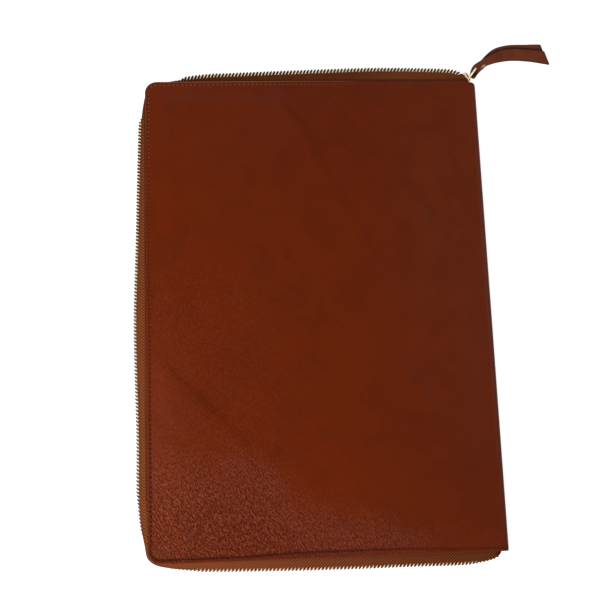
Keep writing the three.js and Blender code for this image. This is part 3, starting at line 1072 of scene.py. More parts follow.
    def seam_place(self, x: Array, y: Array, inset: float) -> Array:
        """Length along the seam line, which runs inset from the free edges, from bottom right to top right.

        Args:
            x: Positions along X.
            y: Positions along Y.
            inset: The seam's distance from the edge.

        Returns:
            The place along the seam that is nearest each point.
        """
        corner_x, corner_y = self.corner_x, self.corner_y
        radius = self.free_corner - inset
        quarter = radius * np.pi / 2
        bottom = self.half_w - x
        turn = np.arctan2(np.abs(y) - corner_y, corner_x - x)
        start = self.half_w - corner_x
        low = start + radius * (np.pi / 2 - turn)
        left = start + quarter + y + corner_y
        top_start = start + quarter + 2 * corner_y
        high = top_start + radius * turn
        top = top_start + quarter + x - corner_x
        in_corner = (x < corner_x) & (np.abs(y) > corner_y)
        on_left = np.minimum(self.half_h - np.abs(y), self.left_reach) > x + self.half_w
        straight = np.where(on_left, left, np.where(y < 0, bottom, top))
        return np.where(in_corner, np.where(y < 0, low, high), straight)

    def seam_points(self, inset: float, pitch: float, margin: float) -> tuple[Array, Array]:
        """Evenly spaced places on the seam line, counted from its lower right end.

        A place's direction is that from a probe's length behind it to a probe's length ahead.

        Args:
            inset: The seam's distance from the edge.
            pitch: Spacing.
            margin: How far from the folded side the places stop.

        Returns:
            Points in plan and the direction of the seam there.
        """
        corner_x, corner_y = self.corner_x, self.corner_y
        radius = self.free_corner - inset
        turns = np.linspace(0, np.pi / 2, self.seam_corner_steps)
        low = np.stack([corner_x - radius * np.sin(turns), -corner_y - radius * np.cos(turns)], 1)
        high = np.stack([corner_x - radius * np.cos(turns), corner_y + radius * np.sin(turns)], 1)
        ends = np.array([[self.half_w, inset - self.half_h], [self.half_w, self.half_h - inset]])
        line = np.vstack([ends[:1], low, high, ends[1:]])
        lengths = lengths_of(line)
        stops = np.arange(0, lengths[-1], pitch)
        stops = stops[(stops > margin) & (stops < lengths[-1] - margin)]
        behind, here, ahead = (read_along(line, lengths, stops + step * self.seam_probe) for step in (-1, 0, 1))
        return here, unit(ahead - behind)


@dataclass
class LeatherCover:
    """The cover itself and the stitches round its free edges."""

    form: CoverForm = field(default_factory=CoverForm)
    leather: CoverLeather = field(default_factory=CoverLeather)
    thread: WaxedThread = field(default_factory=WaxedThread)
    front_step: float = 1.66
    corner_steps: int = 17
    fold_steps: int = 17
    fold_margin: float = 0.4
    back_steps: int = 22
    rows: int = 188
    rim_rows: int = 5
    rim_bulge: float = 0.30
    groove_depth: float = 0.26
    groove_width: float = 1.0
    groove_down: Fade = Fade(40.0, -150.0, 0.6, 1.5)
    edge_drop: float = 0.45
    edge_reach: float = 1.5
    close_rows: tuple[float, ...] = (0.0, 0.3, 0.7, 1.1, 1.5, 1.9, 2.25, 2.6, 2.95, 3.3, 3.7, 4.3, 5.2)
    stitch_length: float = 2.35
    stitch_radius: float = 0.34
    stitch_flat: float = 0.8
    stitch_dip: float = 0.30
    stitch_steps: int = 7
    stitch_sides: int = 6
    stitch_end: float = 0.97
    stitch_margin: float = 9.0
    sunk_front: float = 0.02
    sunk_back: float = 0.10
    sunk_bottom: Fade = Fade(-160.0, -166.0, 0.0, 0.40)
    pale_up: Fade = Fade(20.0, 150.0)
    pale_left: Fade = Fade(70.0, -60.0)

    def pulled(self, y: Array) -> Array:
        """Depth of the seam's groove, which grows smoothly downwards."""
        return self.groove_depth * self.groove_down.at(y)

    def walls(self) -> tuple[Array, Array]:
        """Outer and inner wall as grids.

        Columns go round from the front edge over the fold to the back edge. The front is flat plan plus relief,
        the fold is a half circle and the back is flat on the floor.

        Returns:
            Two grids of points, columns by rows by three.
        """
        form = self.form
        arc = -form.half_w + form.free_corner * (1 - np.cos(np.linspace(0, np.pi / 2, self.corner_steps)))
        flat = np.arange(arc[-1] + self.front_step, form.fold_x - self.fold_margin, self.front_step)
        rough = np.linspace(arc[-1], form.fold_x, self.back_steps)[1:-1]
        turns = np.linspace(0, np.pi, self.fold_steps)
        x = np.concatenate([arc, flat, form.fold_x + form.mid_z * np.sin(turns), rough[::-1], arc[::-1]])
        front = np.arange(len(x)) < len(arc) + len(flat)
        lean = np.concatenate([np.zeros(len(arc) + len(flat)), turns, np.full(len(rough) + len(arc), np.pi)])
        close = np.array(self.close_rows) / form.height
        wide = np.linspace(close[-1], 1 - close[-1], self.rows)[1:-1]
        v = np.concatenate([close, wide, 1 - close[::-1]])[None, :]
        low = -form.end_y(x, form.fold_corner_bottom)
        high = form.end_y(x, form.fold_corner_top, form.fold_sag_top)
        y = low[:, None] + (high - low)[:, None] * v
        lift = np.where(front[:, None], form.relief(x[:, None], y), 0.0)
        base_x = np.minimum(x, form.fold_x)
        edge = form.seam_distance(np.broadcast_to(x[:, None], y.shape), y)
        sunk = self.pulled(y) * np.exp(-(((edge - self.leather.groove_mm) / self.groove_width) ** 2))
        sunk = (sunk + self.edge_drop * (1 - ease(edge, 0, self.edge_reach)) ** 2) * np.cos(lean)[:, None]

        def wall(depth: float) -> Array:
            """The wall at a depth below the outer face.

            Args:
                depth: Distance inwards from the outer face.

            Returns:
                Columns by rows by three.
            """
            radius = form.mid_z - depth
            across = np.broadcast_to((base_x + radius * np.sin(lean))[:, None], y.shape)
            return np.stack([across, y, form.mid_z + radius * np.cos(lean)[:, None] + lift], axis=-1)

        outer = wall(0.0)
        outer[..., 2] -= sunk
        return outer, wall(form.wall)

    def shell(self) -> Surface:
        """The closed cover: both walls and a rounded rim between their borders.

        Rim point k at w from 0 to 1 lies between the walls and stands out by bulge times sin(pi w).

        Returns:
            The cover with its marks.
        """
        outer, inner = self.walls()
        n, m, _ = outer.shape
        border = np.concatenate([np.arange(m), np.arange(1, n) * m + m - 1,
                                 (n - 1) * m + np.arange(m - 2, -1, -1), np.arange(n - 2, 0, -1) * m])
        top, under = outer.reshape(-1, 3)[border], inner.reshape(-1, 3)[border]
        way = np.roll(top, -1, axis=0) - np.roll(top, 1, axis=0)
        out = unit(np.cross(way, top - under))
        w = np.linspace(0, 1, self.rim_rows + 2)[1:-1, None, None]
        rim = top + (under - top) * (1 - np.cos(np.pi * w)) / 2 + out * self.rim_bulge * np.sin(np.pi * w)
        size, ring = n * m, len(border)
        between = 2 * size + np.arange(self.rim_rows * ring).reshape(-1, ring)
        rings = np.vstack([border[None], between, size + border[None]])
        strip = quads(self.rim_rows + 2, ring, wrap_columns=True)
        face = quads(n, m)
        faces = np.vstack([face, size + face[:, ::-1], rings.reshape(-1)[strip][:, ::-1]])
        points = np.vstack([outer.reshape(-1, 3), inner.reshape(-1, 3), rim.reshape(-1, 3)])
        edge = self.form.seam_distance(points[:, 0], points[:, 1])
        edge[2 * size:] = 0.0
        seam = self.form.seam_place(points[:, 0], points[:, 1], self.leather.groove_mm)
        flesh, side = np.zeros(len(points)), np.zeros(len(points))
        flesh[size:2 * size] = side[size:2 * size] = 1.0
        side[2 * size:] = np.repeat(w.ravel(), ring)
        return Surface(points, faces, {"edge_mm": edge, "seam_mm": seam, "flesh": flesh, "rim": side}).outward()

    def stitch(self) -> Surface:
        """One stitch: a capsule whose ends dip into the needle holes.

        Radius is r sqrt(1 - t^4) and height falls by t^4, with t from -1 to 1 along the stitch.

        Returns:
            The stitch along X, with its top towards Z.
        """
        t = np.sin(np.linspace(-np.pi / 2, np.pi / 2, self.stitch_steps) * self.stitch_end)[:, None]
        turn = np.arange(self.stitch_sides) * 2 * np.pi / self.stitch_sides
        radius = self.stitch_radius * np.sqrt(1 - t**4)
        across = radius * np.cos(turn)
        along = np.broadcast_to(t * self.stitch_length / 2, across.shape)
        up = radius * np.sin(turn) * self.stitch_flat - self.stitch_dip * t**4
        marks = {"length_mm": along, "round": np.broadcast_to(turn, across.shape)}
        return swept(np.stack([along, across, up], axis=-1), marks=marks)

    def stitches(self) -> Surface:
        """Stitches along the seam of the front panel and of the back panel.

        Returns:
            All stitches as one surface.
        """
        leather = self.leather
        places, way = self.form.seam_points(leather.groove_mm, leather.stitch_mm, self.stitch_margin)
        x, y = places.T
        front = self.form.edge_z + self.form.relief(x, y)
        surfaces = []
        for facing, z, sunk in ((1.0, front, self.sunk_front), (-1.0, np.zeros(len(x)), self.sunk_back)):
            buried = self.pulled(y) + sunk + self.sunk_bottom.at(y)
            origins = np.column_stack([places, z - facing * buried])
            ahead = np.column_stack([way, np.zeros(len(way))])
            up = np.broadcast_to([0.0, 0.0, facing], ahead.shape)
            row = self.stitch().repeated(origins, np.stack([ahead, np.cross(up, ahead), up], axis=1))
            pale = self.pale_up.at(y) * self.pale_left.at(x)
            row.marks["pale"] = pale[row.marks["copy"].astype(int)]
            surfaces.append(row)
        return surfaces[0].with_others(surfaces[1])

    def build(self) -> None:
        """Makes the cover and its stitches."""
        self.shell().piece("leather_cover_skin", self.leather.material(), ["leather_cover"], Slot.COVER)
        self.stitches().piece("seam_stitches", self.thread.material(), ["leather_cover"], Slot.TAPE)


@dataclass(frozen=True)
class ZipLine:
    """The zip's run in plan: how far the chain's middle stands out from each edge."""

    form: CoverForm = field(default_factory=CoverForm)
    rows: tuple[tuple[Edge, float, float], ...] = (
        (Edge.BOTTOM, 117.4, -1.2), (Edge.BOTTOM, 114.6, 2.9), (Edge.BOTTOM, 104, 6.2), (Edge.BOTTOM, 50, 6.9),
        (Edge.BOTTOM, -8, 6.8), (Edge.BOTTOM, -58, 5.8), (Edge.BOTTOM, -93, 4.5), (Edge.BOTTOM, -109, 2.6),
        (Edge.BOTTOM, -117.5, 0.2),
        (Edge.LEFT, -166.5, 0.3), (Edge.LEFT, -158, 2.3), (Edge.LEFT, -146, 4.5), (Edge.LEFT, -129, 5.8),
        (Edge.LEFT, -87, 6.0), (Edge.LEFT, -7, 7.6), (Edge.LEFT, 49, 6.1), (Edge.LEFT, 106, 4.7),
        (Edge.LEFT, 142, 3.4), (Edge.LEFT, 155, 1.7), (Edge.LEFT, 161, 0.3), (Edge.LEFT, 166.2, -2.6),
        (Edge.TOP, -109, 0.8), (Edge.TOP, -82, 5.6), (Edge.TOP, -53, 7.1), (Edge.TOP, 6, 9.3),
        (Edge.TOP, 47, 10.4), (Edge.TOP, 81, 9.9), (Edge.TOP, 104, 8.8), (Edge.TOP, 109.5, 7.4),
        (Edge.TOP, 111, 6.4), (Edge.TOP, 112.2, 3.8), (Edge.TOP, 113.3, 1.4),
    )
    knot_steps: int = 60

    def row_point(self, edge: Edge, along: float, out: float) -> tuple[float, float]:
        """A table row as a point in plan.

        Args:
            edge: The edge that the row belongs to.
            along: Place along that edge.
            out: Distance outwards from it.

        Returns:
            The point's x and y.
        """
        if edge is Edge.LEFT:
            return -self.form.half_w - out, along
        reach = self.form.half_h + out
        return along, reach if edge is Edge.TOP else -reach

    def even(self, spacing: float) -> tuple[Array, Array, Array]:
        """Evenly spaced points of the run.

        Args:
            spacing: Wanted distance between points.

        Returns:
            Points in plan, outward directions and lengths along the run.
        """
        knots = np.array([self.row_point(*row) for row in self.rows])
        fine = through(knots, np.linspace(0, len(knots) - 1, self.knot_steps * len(knots)))
        lengths = lengths_of(fine)
        run = np.linspace(0, lengths[-1], int(lengths[-1] / spacing) + 1)
        points = read_along(fine, lengths, run)
        way = unit(np.gradient(points, axis=0))
        return points, np.stack([-way[:, 1], way[:, 0]], axis=1), run


@dataclass(frozen=True)
class Slider:
    """The slider: two upright plates, the bridge between them and a bail with a dark web, painted shade that
    fills the slot.
    """

    form: CoverForm = field(default_factory=CoverForm)
    x: float = 113.9
    y: float = 173.0
    heading_deg: float = -65.0
    length: float = 8.6
    height: float = 5.4
    inner_height: float = 3.2
    channel: float = 3.3
    plate: float = 0.8
    plate_power: float = 3.2
    slab_soft: float = 0.3
    slab_inset: float = 1.2
    slab_sides: int = 36
    bridge_half: tuple[float, float] = (0.8, 0.9)
    bridge_back: float = 1.6
    bridge_bite: float = 0.2
    bridge_power: float = 2.5
    bail_length: float = 7.6
    bail_reach: float = 2.6
    bail_bar: float = 0.80
    bail_width: float = 1.6
    bail_bend: float = 1.2
    bail_steps: int = 7
    bail_power: float = 3.0
    bail_sides: int = 12
    # Painted shade: the bail a little, the web that fills the slot fully.
    bail_shade: float = 0.12
    web: float = 0.5
    web_low: float = -0.9
    web_inset: float = 0.4
    web_drop: float = 0.3
    web_shade: float = 1.0
    crease_deg: float = 40.0

    def apart(self, points: Array) -> Array:
        """Distance of points in plan from the slider's middle, in slider lengths."""
        return np.hypot(points[:, 0] - self.x, points[:, 1] - self.y) / self.length

    def slab(self, faces_at: tuple[float, float], half_length: float, half_height: float, power: float,
             shade_and_patina: float = 0.0) -> Surface:
        """A plate with rounded edges: superellipse rings that shrink at both faces.

        Args:
            faces_at: Where its two faces lie along Y.
            half_length: Half its size along X.
            half_height: Half its size along Z.
            power: The outline's squareness.
            shade_and_patina: How dark the metal is painted, as shade.

        Returns:
            The plate.
        """
        low, high = faces_at
        soft = self.slab_soft * (high - low)
        softer = self.slab_soft * soft
        y = np.array([low, low, low + softer, low + soft, high - soft, high - softer, high, high])
        inset = np.array([self.slab_inset, soft, softer, 0, 0, softer, soft, self.slab_inset])
        x, z = rounded_loop(half_length - inset, half_height - inset, power, self.slab_sides)
        sections = np.stack([x, np.broadcast_to(y[:, None], x.shape), z], axis=-1)
        return swept(sections, marks={"shade_and_patina": np.full(x.shape, shade_and_patina)})

    def bail(self) -> Surface:
        """The bail: a superellipse bar bent to an arch over the outer plate, with quarter circles at its sides.

        Returns:
            The arch, standing on the plate towards Y.
        """
        foot = (self.channel + self.plate) / 2
        top = foot + self.bail_reach - self.bail_bar / 2
        reach = (self.bail_length - self.bail_bar) / 2
        turns = np.linspace(0, np.pi / 2, self.bail_steps)
        bend = self.bail_bend
        right = np.stack([reach - bend + bend * np.cos(turns), top - bend + bend * np.sin(turns)], 1)
        path = np.vstack([[[reach, foot]], right, (right * [-1, 1])[::-1], [[-reach, foot]]])
        way = unit(np.gradient(path, axis=0))
        normal = np.stack([-way[:, 1], way[:, 0]], axis=1)
        a, b = rounded_loop(self.bail_bar / 2, self.bail_width / 2, self.bail_power, self.bail_sides)
        plan = path[:, None] + normal[:, None] * a[None, :, None]
        sections = np.dstack([plan, np.broadcast_to(b, plan.shape[:2])])
        return swept(sections, marks={"shade_and_patina": np.full(sections.shape[:2], self.bail_shade)})

    def body(self) -> Surface:
        """All of the slider, turned to its heading about Z.

        Returns:
            The slider in its place.
        """
        gap, length = self.channel / 2, self.length / 2
        outer = self.slab((gap, gap + self.plate), length, self.height / 2, self.plate_power)
        inner = self.slab((-gap - self.plate, -gap), length, self.inner_height / 2, self.plate_power)
        bite = gap + self.bridge_bite
        bridge = self.slab((-bite, bite), *self.bridge_half, self.bridge_power)
        bridge.points[:, 0] += length - self.bridge_back
        # The web: a dark plate of painted shade that closes the slot under the bail.
        web = self.slab((self.web_low, self.web_low + self.web), self.bail_length / 2 - self.web_inset,
                        self.bail_reach / 2, self.bail_power, self.web_shade)
        web_middle = gap + self.plate / 2 + self.bail_reach / 2 - self.web_drop
        web.points = web.points[:, [0, 2, 1]] + [0.0, web_middle, 0.0]
        whole = outer.with_others(inner, bridge, web.outward(), self.bail())
        turn = np.radians(self.heading_deg)
        spin = np.array([[np.cos(turn), np.sin(turn), 0], [-np.sin(turn), np.cos(turn), 0], [0, 0, 1]])
        whole.points = whole.points @ spin + [self.x, self.y, self.form.mid_z]
        return whole

    def build(self, brass: bpy.types.Material) -> None:
        """Makes the slider from a metal."""
        self.body().piece("zip_slider_body", brass, ["zip_slider"], Slot.BRASS, self.crease_deg)


@dataclass(frozen=True)
class ZipTapes:
    """The two woven tapes, from under the leather to the chain."""

    form: CoverForm = field(default_factory=CoverForm)
    line: ZipLine = field(default_factory=ZipLine)
    slider: Slider = field(default_factory=Slider)
    step: float = 1.3
    columns: tuple[float, ...] = (0.0, 0.3, 0.5, 0.6, 0.68, 0.76, 0.84, 0.91, 0.95, 0.98, 1.0)
    hidden: float = 7.5
    short: float = 0.45
    shorter_top: float = 1.15
    top_up: Fade = Fade(170.0, 174.0)
    top_from_left: Fade = Fade(-101.0, -92.0)
    longer_bottom: Fade = Fade(-166.0, -172.0, 0.0, 0.55)
    slot: Fade = Fade(0.65, 0.42)
    slot_reach: float = 3.7
    slot_slope: float = 2.8
    slope: float = 6.5
    end_rise: float = 0.95
    clearance: float = 0.3
    room: float = 0.50
    half: float = 0.40
    bead_half: float = 0.50
    bead_place: float = 0.5
    bead_spread: float = 0.5
    lip: float = 0.05
    lip_thin: float = 0.6
    shade_out: Fade = Fade(0.0, 1.4, 1.0, 0.0)
    shade_up: Fade = Fade(-165.0, -120.0)
    shade_start: Fade = Fade(3.0, 10.0, 0.9, 0.0)
    crease_deg: float = 60.0

    def hidden_points(self, ends: Array) -> Array:
        """Where the tape starts under the leather: the nearest point of the outline inset by hidden.

        Args:
            ends: The tape's outer ends in plan.

        Returns:
            The inner ends in plan.
        """
        form = self.form
        upper = np.sign(ends[:, 1])
        turn = np.arctan2(ends[:, 1] - upper * form.corner_y, ends[:, 0] - form.corner_x)
        radius = form.free_corner - self.hidden
        corner = np.stack([form.corner_x + radius * np.cos(turn),
                           upper * form.corner_y + radius * np.sin(turn)], 1)
        left = np.stack([np.full(len(ends), self.hidden - form.half_w), ends[:, 1]], 1)
        level = np.stack([ends[:, 0], upper * (form.half_h - self.hidden)], 1)
        on_left = (ends[:, 0] < form.corner_x)[:, None]
        in_corner = on_left & (np.abs(ends[:, 1:]) > form.corner_y)
        return np.where(in_corner, corner, np.where(on_left, left, level))

    def ribbon(self, side: TapeSide) -> Surface:
        """One tape: flat under the leather, easing down to the chain by a smooth step.

        A thicker bead, exp(-d^2), runs along its end. Beside the slider the tape reaches into the slot.

        Args:
            side: Upper or lower tape.

        Returns:
            The tape with its run, its distance beyond the leather's edge and its shade marked.
        """
        form = self.form
        points, out, run = self.line.even(self.step)
        near = self.slot.at(self.slider.apart(points))
        top = self.top_up.at(points[:, 1]) * self.top_from_left.at(points[:, 0])
        short = self.short + self.shorter_top * top - self.longer_bottom.at(points[:, 1])
        ends = points - out * (short - self.slot_reach * near)[:, None]
        starts = self.hidden_points(ends)
        plan = starts[:, None] + (ends - starts)[:, None] * np.array(self.columns)[None, :, None]
        across = np.linalg.norm(plan - ends[:, None], axis=-1)
        flat = form.edge_z - form.wall - self.clearance - self.room - form.mid_z
        slope = self.slope + (self.slot_slope - self.slope) * near
        rise = flat + (self.end_rise - flat) * (1 - ease(across / slope[:, None], 0, 1))
        bead = np.exp(-(((across - self.bead_place) / self.bead_spread) ** 2))
        half = self.half + (self.bead_half - self.half) * bead
        half = half * np.where(across < self.lip, self.lip_thin, 1.0)
        middle = form.mid_z + side.value * rise
        upper, lower = np.dstack([plan, middle + half]), np.dstack([plan, middle - half])
        beyond = np.maximum(np.abs(plan[..., 1]) - form.half_h, -plan[..., 0] - form.half_w)
        shade = self.shade_out.at(beyond) * self.shade_up.at(plan[..., 1])
        shade = np.maximum(shade, self.shade_start.at(run)[:, None])
        face = {"run_mm": np.broadcast_to(run[:, None], across.shape), "beyond_mm": beyond, "shade": shade}
        both = {name: np.concatenate([mark, mark[:, ::-1]], axis=1) for name, mark in face.items()}
        return swept(np.concatenate([upper, lower[:, ::-1]], axis=1), marks=both)

    def build(self, woven: bpy.types.Material) -> None:
        """Makes both tapes from a weave."""
        for side, node in ((TapeSide.UPPER, "zip_tape_upper"), (TapeSide.LOWER, "zip_tape_lower")):
            self.ribbon(side).piece(f"{node}_weave", woven, [node], Slot.TAPE, self.crease_deg)


@dataclass(frozen=True)
class ZipTeeth:
    """Both rows of teeth of the closed chain.

    A row of the tooth's table gives its rise, half size along the run, half size outwards and place outwards.
    A row of the tuck's table gives a place on the run and how far the teeth are drawn in under the tape.
    """

    form: CoverForm = field(default_factory=CoverForm)
    line: ZipLine = field(default_factory=ZipLine)
    slider: Slider = field(default_factory=Slider)
    tooth_rows: tuple[tuple[float, float, float, float], ...] = (
        (1.95, 0.12, 0.30, 0.02), (1.86, 0.20, 0.52, 0.02), (1.60, 0.24, 0.64, 0.04),
        (1.20, 0.29, 0.68, 0.06), (0.65, 0.60, 0.84, 0.10), (0.00, 0.68, 1.10, 0.00),
        (-1.00, 0.66, 1.10, 0.00), (-1.30, 0.48, 0.75, 0.00),
    )
    tuck_rows: tuple[tuple[float, float], ...] = (
        (0, 0.30), (18, 0.25), (26, 0.0), (204, 0.0), (216, 0.30), (226, 0.45), (232, 1.0), (256, 1.0),
        (262, 0.45), (278, 0.30), (288, 0.0), (551, 0.0), (558, 1.0), (598, 1.0), (607, 0.0),
    )
    tuck_in: float = 2.3
    tuck_down: float = 1.6
    # Painted shade on teeth drawn in under the tape.
    tuck_shade: Fade = Fade(0.0, 0.25)
    power: float = 3.2
    sides: int = 8
    # Painted shade: each tooth darkens from the jaws towards the head.
    shade_and_patina: Fade = Fade(0.55, 1.20, 1.0, 0.0)
    pitch: float = 2.506
    first: float = 4.0
    slider_share: float = 0.46
    fine_step: float = 0.2
    row_shift: float = 0.30
    long_up: Fade = Fade(160.0, 172.0)
    long_shift: float = 0.35
    long_stretch: float = 0.55
    long_wider: float = 0.20
    slant: float = 0.7
    crease_deg: float = 50.0

    def tooth(self) -> Surface:
        """One tooth: superellipse sections from the jaws that hold the tape, across the chain to the head.

        The jaws stay bright and painted shade, in a tarnish colour, grows smoothly towards the head.

        Returns:
            The tooth with its outer side towards Y and its jaws towards Z.
        """
        rise, half_run, half_out, middle = np.array(self.tooth_rows).T
        x, y = rounded_loop(half_run, half_out, self.power, self.sides)
        sections = np.stack([x, y + middle[:, None], np.broadcast_to(rise[:, None], x.shape)], axis=-1)
        return swept(sections, marks={"shade_and_patina": self.shade_and_patina.at(sections[..., 2])})

    def row(self, side: TapeSide) -> Surface:
        """One row of teeth up to the slider, longer along the top edge.

        Args:
            side: The tape that the row is clamped to. The lower row starts half a pitch later.

        Returns:
            The row's teeth as one surface.
        """
        points, out, run = self.line.even(self.fine_step)
        stop = run[np.argmax(self.slider.apart(points) < self.slider_share)]
        stops = np.arange(self.first + (0 if side is TapeSide.UPPER else self.pitch / 2), stop, self.pitch)
        plan, outward = read_along(points, run, stops), unit(read_along(out, run, stops))
        tuck = np.interp(stops, *np.array(self.tuck_rows).T)
        long = self.long_up.at(plan[:, 1])
        inward = self.tuck_in * tuck + side.value * self.row_shift + self.long_shift * long
        origins = np.column_stack([plan - outward * inward[:, None], self.form.mid_z - self.tuck_down * tuck])
        outward = np.column_stack([outward, np.zeros(len(stops))])
        up = np.broadcast_to([0.0, 0.0, float(side.value)], outward.shape)
        ahead = np.cross(outward, up) * (1 + self.long_wider * long)[:, None]
        slanted = outward * (1 + self.long_stretch * long)[:, None] + ahead * self.slant * side.value
        made = self.tooth().repeated(origins, np.stack([ahead, slanted, up], axis=1)).outward()
        # Teeth drawn in under the tape get painted shade.
        darkened = self.tuck_shade.at(tuck)[made.marks["copy"].astype(int)]
        made.marks["shade_and_patina"] = np.maximum(made.marks["shade_and_patina"], darkened)
        return made

    def build(self, brass: bpy.types.Material) -> None:
        """Makes both rows from a metal."""
        both = self.row(TapeSide.UPPER).with_others(self.row(TapeSide.LOWER))
        both.piece("zip_teeth", brass, ["zip_chain"], Slot.BRASS, self.crease_deg)


@dataclass(frozen=True)
class Zip:
    """The closed zip: two tapes, two rows of teeth and the slider."""

    weave: WovenTape = field(default_factory=WovenTape)
    brass: Brass = field(default_factory=Brass)
    tapes: ZipTapes = field(default_factory=ZipTapes)
    teeth: ZipTeeth = field(default_factory=ZipTeeth)
    slider: Slider = field(default_factory=Slider)

    def build(self) -> None:
        """Makes the tapes, the teeth and the slider."""
        woven, brass = self.weave.material(), self.brass.material()
        self.tapes.build(woven)
        self.teeth.build(brass)
        self.slider.build(brass)


@dataclass(frozen=True)
class StrapRow:
    """A station of the strap: place in plan, width, how far the back layer fans out, and height."""

    x: float
    y: float
    width: float
    fan: float
    lift: float


@dataclass
class Pull:
    """The zip's pull: a wire ring and a leather strip folded double through it."""

    leather: StrapLeather = field(default_factory=StrapLeather)
    brass: Brass = field(default_factory=Brass)
    wire: float = 1.3
    ring_near: tuple[float, float, float] = (117.5, 172.95, 4.4)
    ring_far: tuple[float, float, float] = (123.9, 181.3, 3.45)
    wire_sides: int = 14
    ring_height: float = 5.6
    ring_corner: float = 1.7
    corner_steps: int = 9
    strap: float = 1.6
    strap_gap: float = 0.3
    strap_steps: int = 60
    fold_steps: int = 13
    fold_narrow: float = 0.50
    edge_round: float = 0.5
    edge_steps: int = 7
    face_steps: int = 13
    strap_crease_deg: float = 60.0
    strap_slant: Fade = Fade(0.75, 1.0, 0.0, 4.8)
    cut_side: Fade = Fade(0.88, 0.98)
    cut_end: Fade = Fade(0.990, 1.0)
    # Painted shade on the folded end and round the ring's hole.
    fold_painted_shade: Fade = Fade(0.03, 0.16, 0.9, 0.0)
    hole_painted_shade: Fade = Fade(1.65, 0.95)
    hole_sunk: Fade = Fade(2.15, 0.65, 0.0, 0.35)
    # Painted highlight: a pale streak on the front layer.
    streak_place: tuple[float, float] = (0.275, 0.62)
    streak_half: tuple[float, float] = (0.045, 0.17)
    # Painted shadow on the back layer, fading away from the front layer's edge.
    painted_shadow_beyond: Fade = Fade(0.6, 2.8, 1.0, 0.0)
    slope_step: float = 1e-3
    column_step: float = 10.0
    rows: tuple[StrapRow, ...] = (
        StrapRow(121.4, 176.1, 4.8, 0.0, 1.75), StrapRow(124.4, 181.4, 6.6, 0.0, 1.75),
        StrapRow(129.2, 185.3, 6.0, 0.0, 1.30), StrapRow(133.6, 187.8, 6.4, 1.6, 0.90),
        StrapRow(142.0, 191.2, 8.2, 3.9, 0.35), StrapRow(151.5, 193.2, 9.5, 4.1, 0.0),
        StrapRow(165.5, 192.6, 9.7, 4.8, 0.0), StrapRow(179.4, 190.6, 10.4, 6.0, 0.0),
    )

    def ring(self) -> Surface:
        """The ring: round wire along a rounded rectangle that stands on edge.

        Returns:
            The ring.
        """
        near, far = np.array(self.ring_near), np.array(self.ring_far)
        along = unit(far - near)
        side = unit(np.array([-along[1], along[0], 0.0]))
        up = np.cross(along, side)
        turns = np.linspace(0, np.pi / 2, self.corner_steps)
        signs = np.array([[1, 1], [-1, 1], [-1, -1], [1, -1]])
        half = np.array([np.linalg.norm(far - near), self.ring_height]) / 2 - self.ring_corner
        angle = (np.arange(4)[:, None] * np.pi / 2 + turns).reshape(-1)
        centre = np.repeat(signs * half, len(turns), axis=0)
        centre = centre + self.ring_corner * np.stack([np.cos(angle), np.sin(angle)], 1)
        path = (near + far) / 2 + centre[:, :1] * along + centre[:, 1:] * up
        radial = np.cos(angle)[:, None] * along + np.sin(angle)[:, None] * up
        a = np.arange(self.wire_sides) * 2 * np.pi / self.wire_sides
        offsets = np.cos(a)[None, :, None] * radial[:, None] + np.sin(a)[None, :, None] * side
        return swept(path[:, None] + offsets * self.wire / 2, loop=True)

    def column(self, name: str, t: Array) -> Array:
        """A smooth curve through a column of the strap's table, at t from 0, the folded end, to 1."""
        knots = np.array([[self.column_step * k, getattr(row, name)] for k, row in enumerate(self.rows)])
        return through(knots, np.clip(t, 0, 1) * (len(knots) - 1))[:, 1]

    def strip(self) -> Surface:
        """The strap: a stadium section carried from the back layer's end to the fold and out again.

        The fold is a half circle of the middle line, where the strap is narrower by a share of cos^2.

        Returns:
            The strap with its dark edges, painted shade at the fold and round the hole, the painted shadow on
            its back layer and its painted highlight streak marked.
        """
        steps, count = np.linspace(0, 1, self.strap_steps), self.strap_steps
        turns = np.linspace(-np.pi / 2, np.pi / 2, self.fold_steps)[1:-1]
        t = np.concatenate([steps[::-1], np.zeros(len(turns)), steps])
        lean = np.concatenate([np.full(count, -np.pi / 2), turns, np.full(count, np.pi / 2)])
        back = np.arange(len(t)) < count
        knots = np.array([[row.x, row.y] for row in self.rows])
        behind, middle, ahead = (through(knots, np.clip(t + step, 0, 1) * (len(knots) - 1))
                                 for step in (-self.slope_step, 0.0, self.slope_step))
        way = np.column_stack([unit(ahead - behind), np.zeros(len(t))])
        across = np.column_stack([-way[:, 1], way[:, 0], np.zeros(len(t))])
        width = self.column("width", t) * (1 - self.fold_narrow * np.cos(lean) ** 2)
        fan = np.where(back, self.column("fan", t), 0.0)
        a, b = self.stadium(width)
        aside = a + fan[:, None]
        slant = -self.strap_slant.at(t)[:, None] * aside / width[:, None]
        radius = (self.strap + self.strap_gap) / 2
        normal = -way * np.cos(lean)[:, None] + np.outer(np.sin(lean), [0, 0, 1])
        lift = np.maximum(self.column("lift", t), 0) + self.strap + self.strap_gap / 2
        centre = np.column_stack([middle, lift]) + radius * normal
        points = (centre[:, None] + aside[..., None] * across[:, None] + slant[..., None] * way[:, None]
                  + b[..., None] * normal[:, None])
        edge = np.abs(2 * a / width[:, None])
        # Dark edges, with painted shade on the folded end and round the ring's hole.
        dark_edge_and_shade = self.cut_side.at(edge) + (self.cut_end.at(t) + self.fold_painted_shade.at(t))[:, None]
        hole = np.linalg.norm(points[..., :2] - np.array(self.ring_far[:2]), axis=-1)
        dark_edge_and_shade = np.clip(dark_edge_and_shade + self.hole_painted_shade.at(hole), 0, 1)
        points[..., 2] -= np.sign(b) * self.hole_sunk.at(hole)
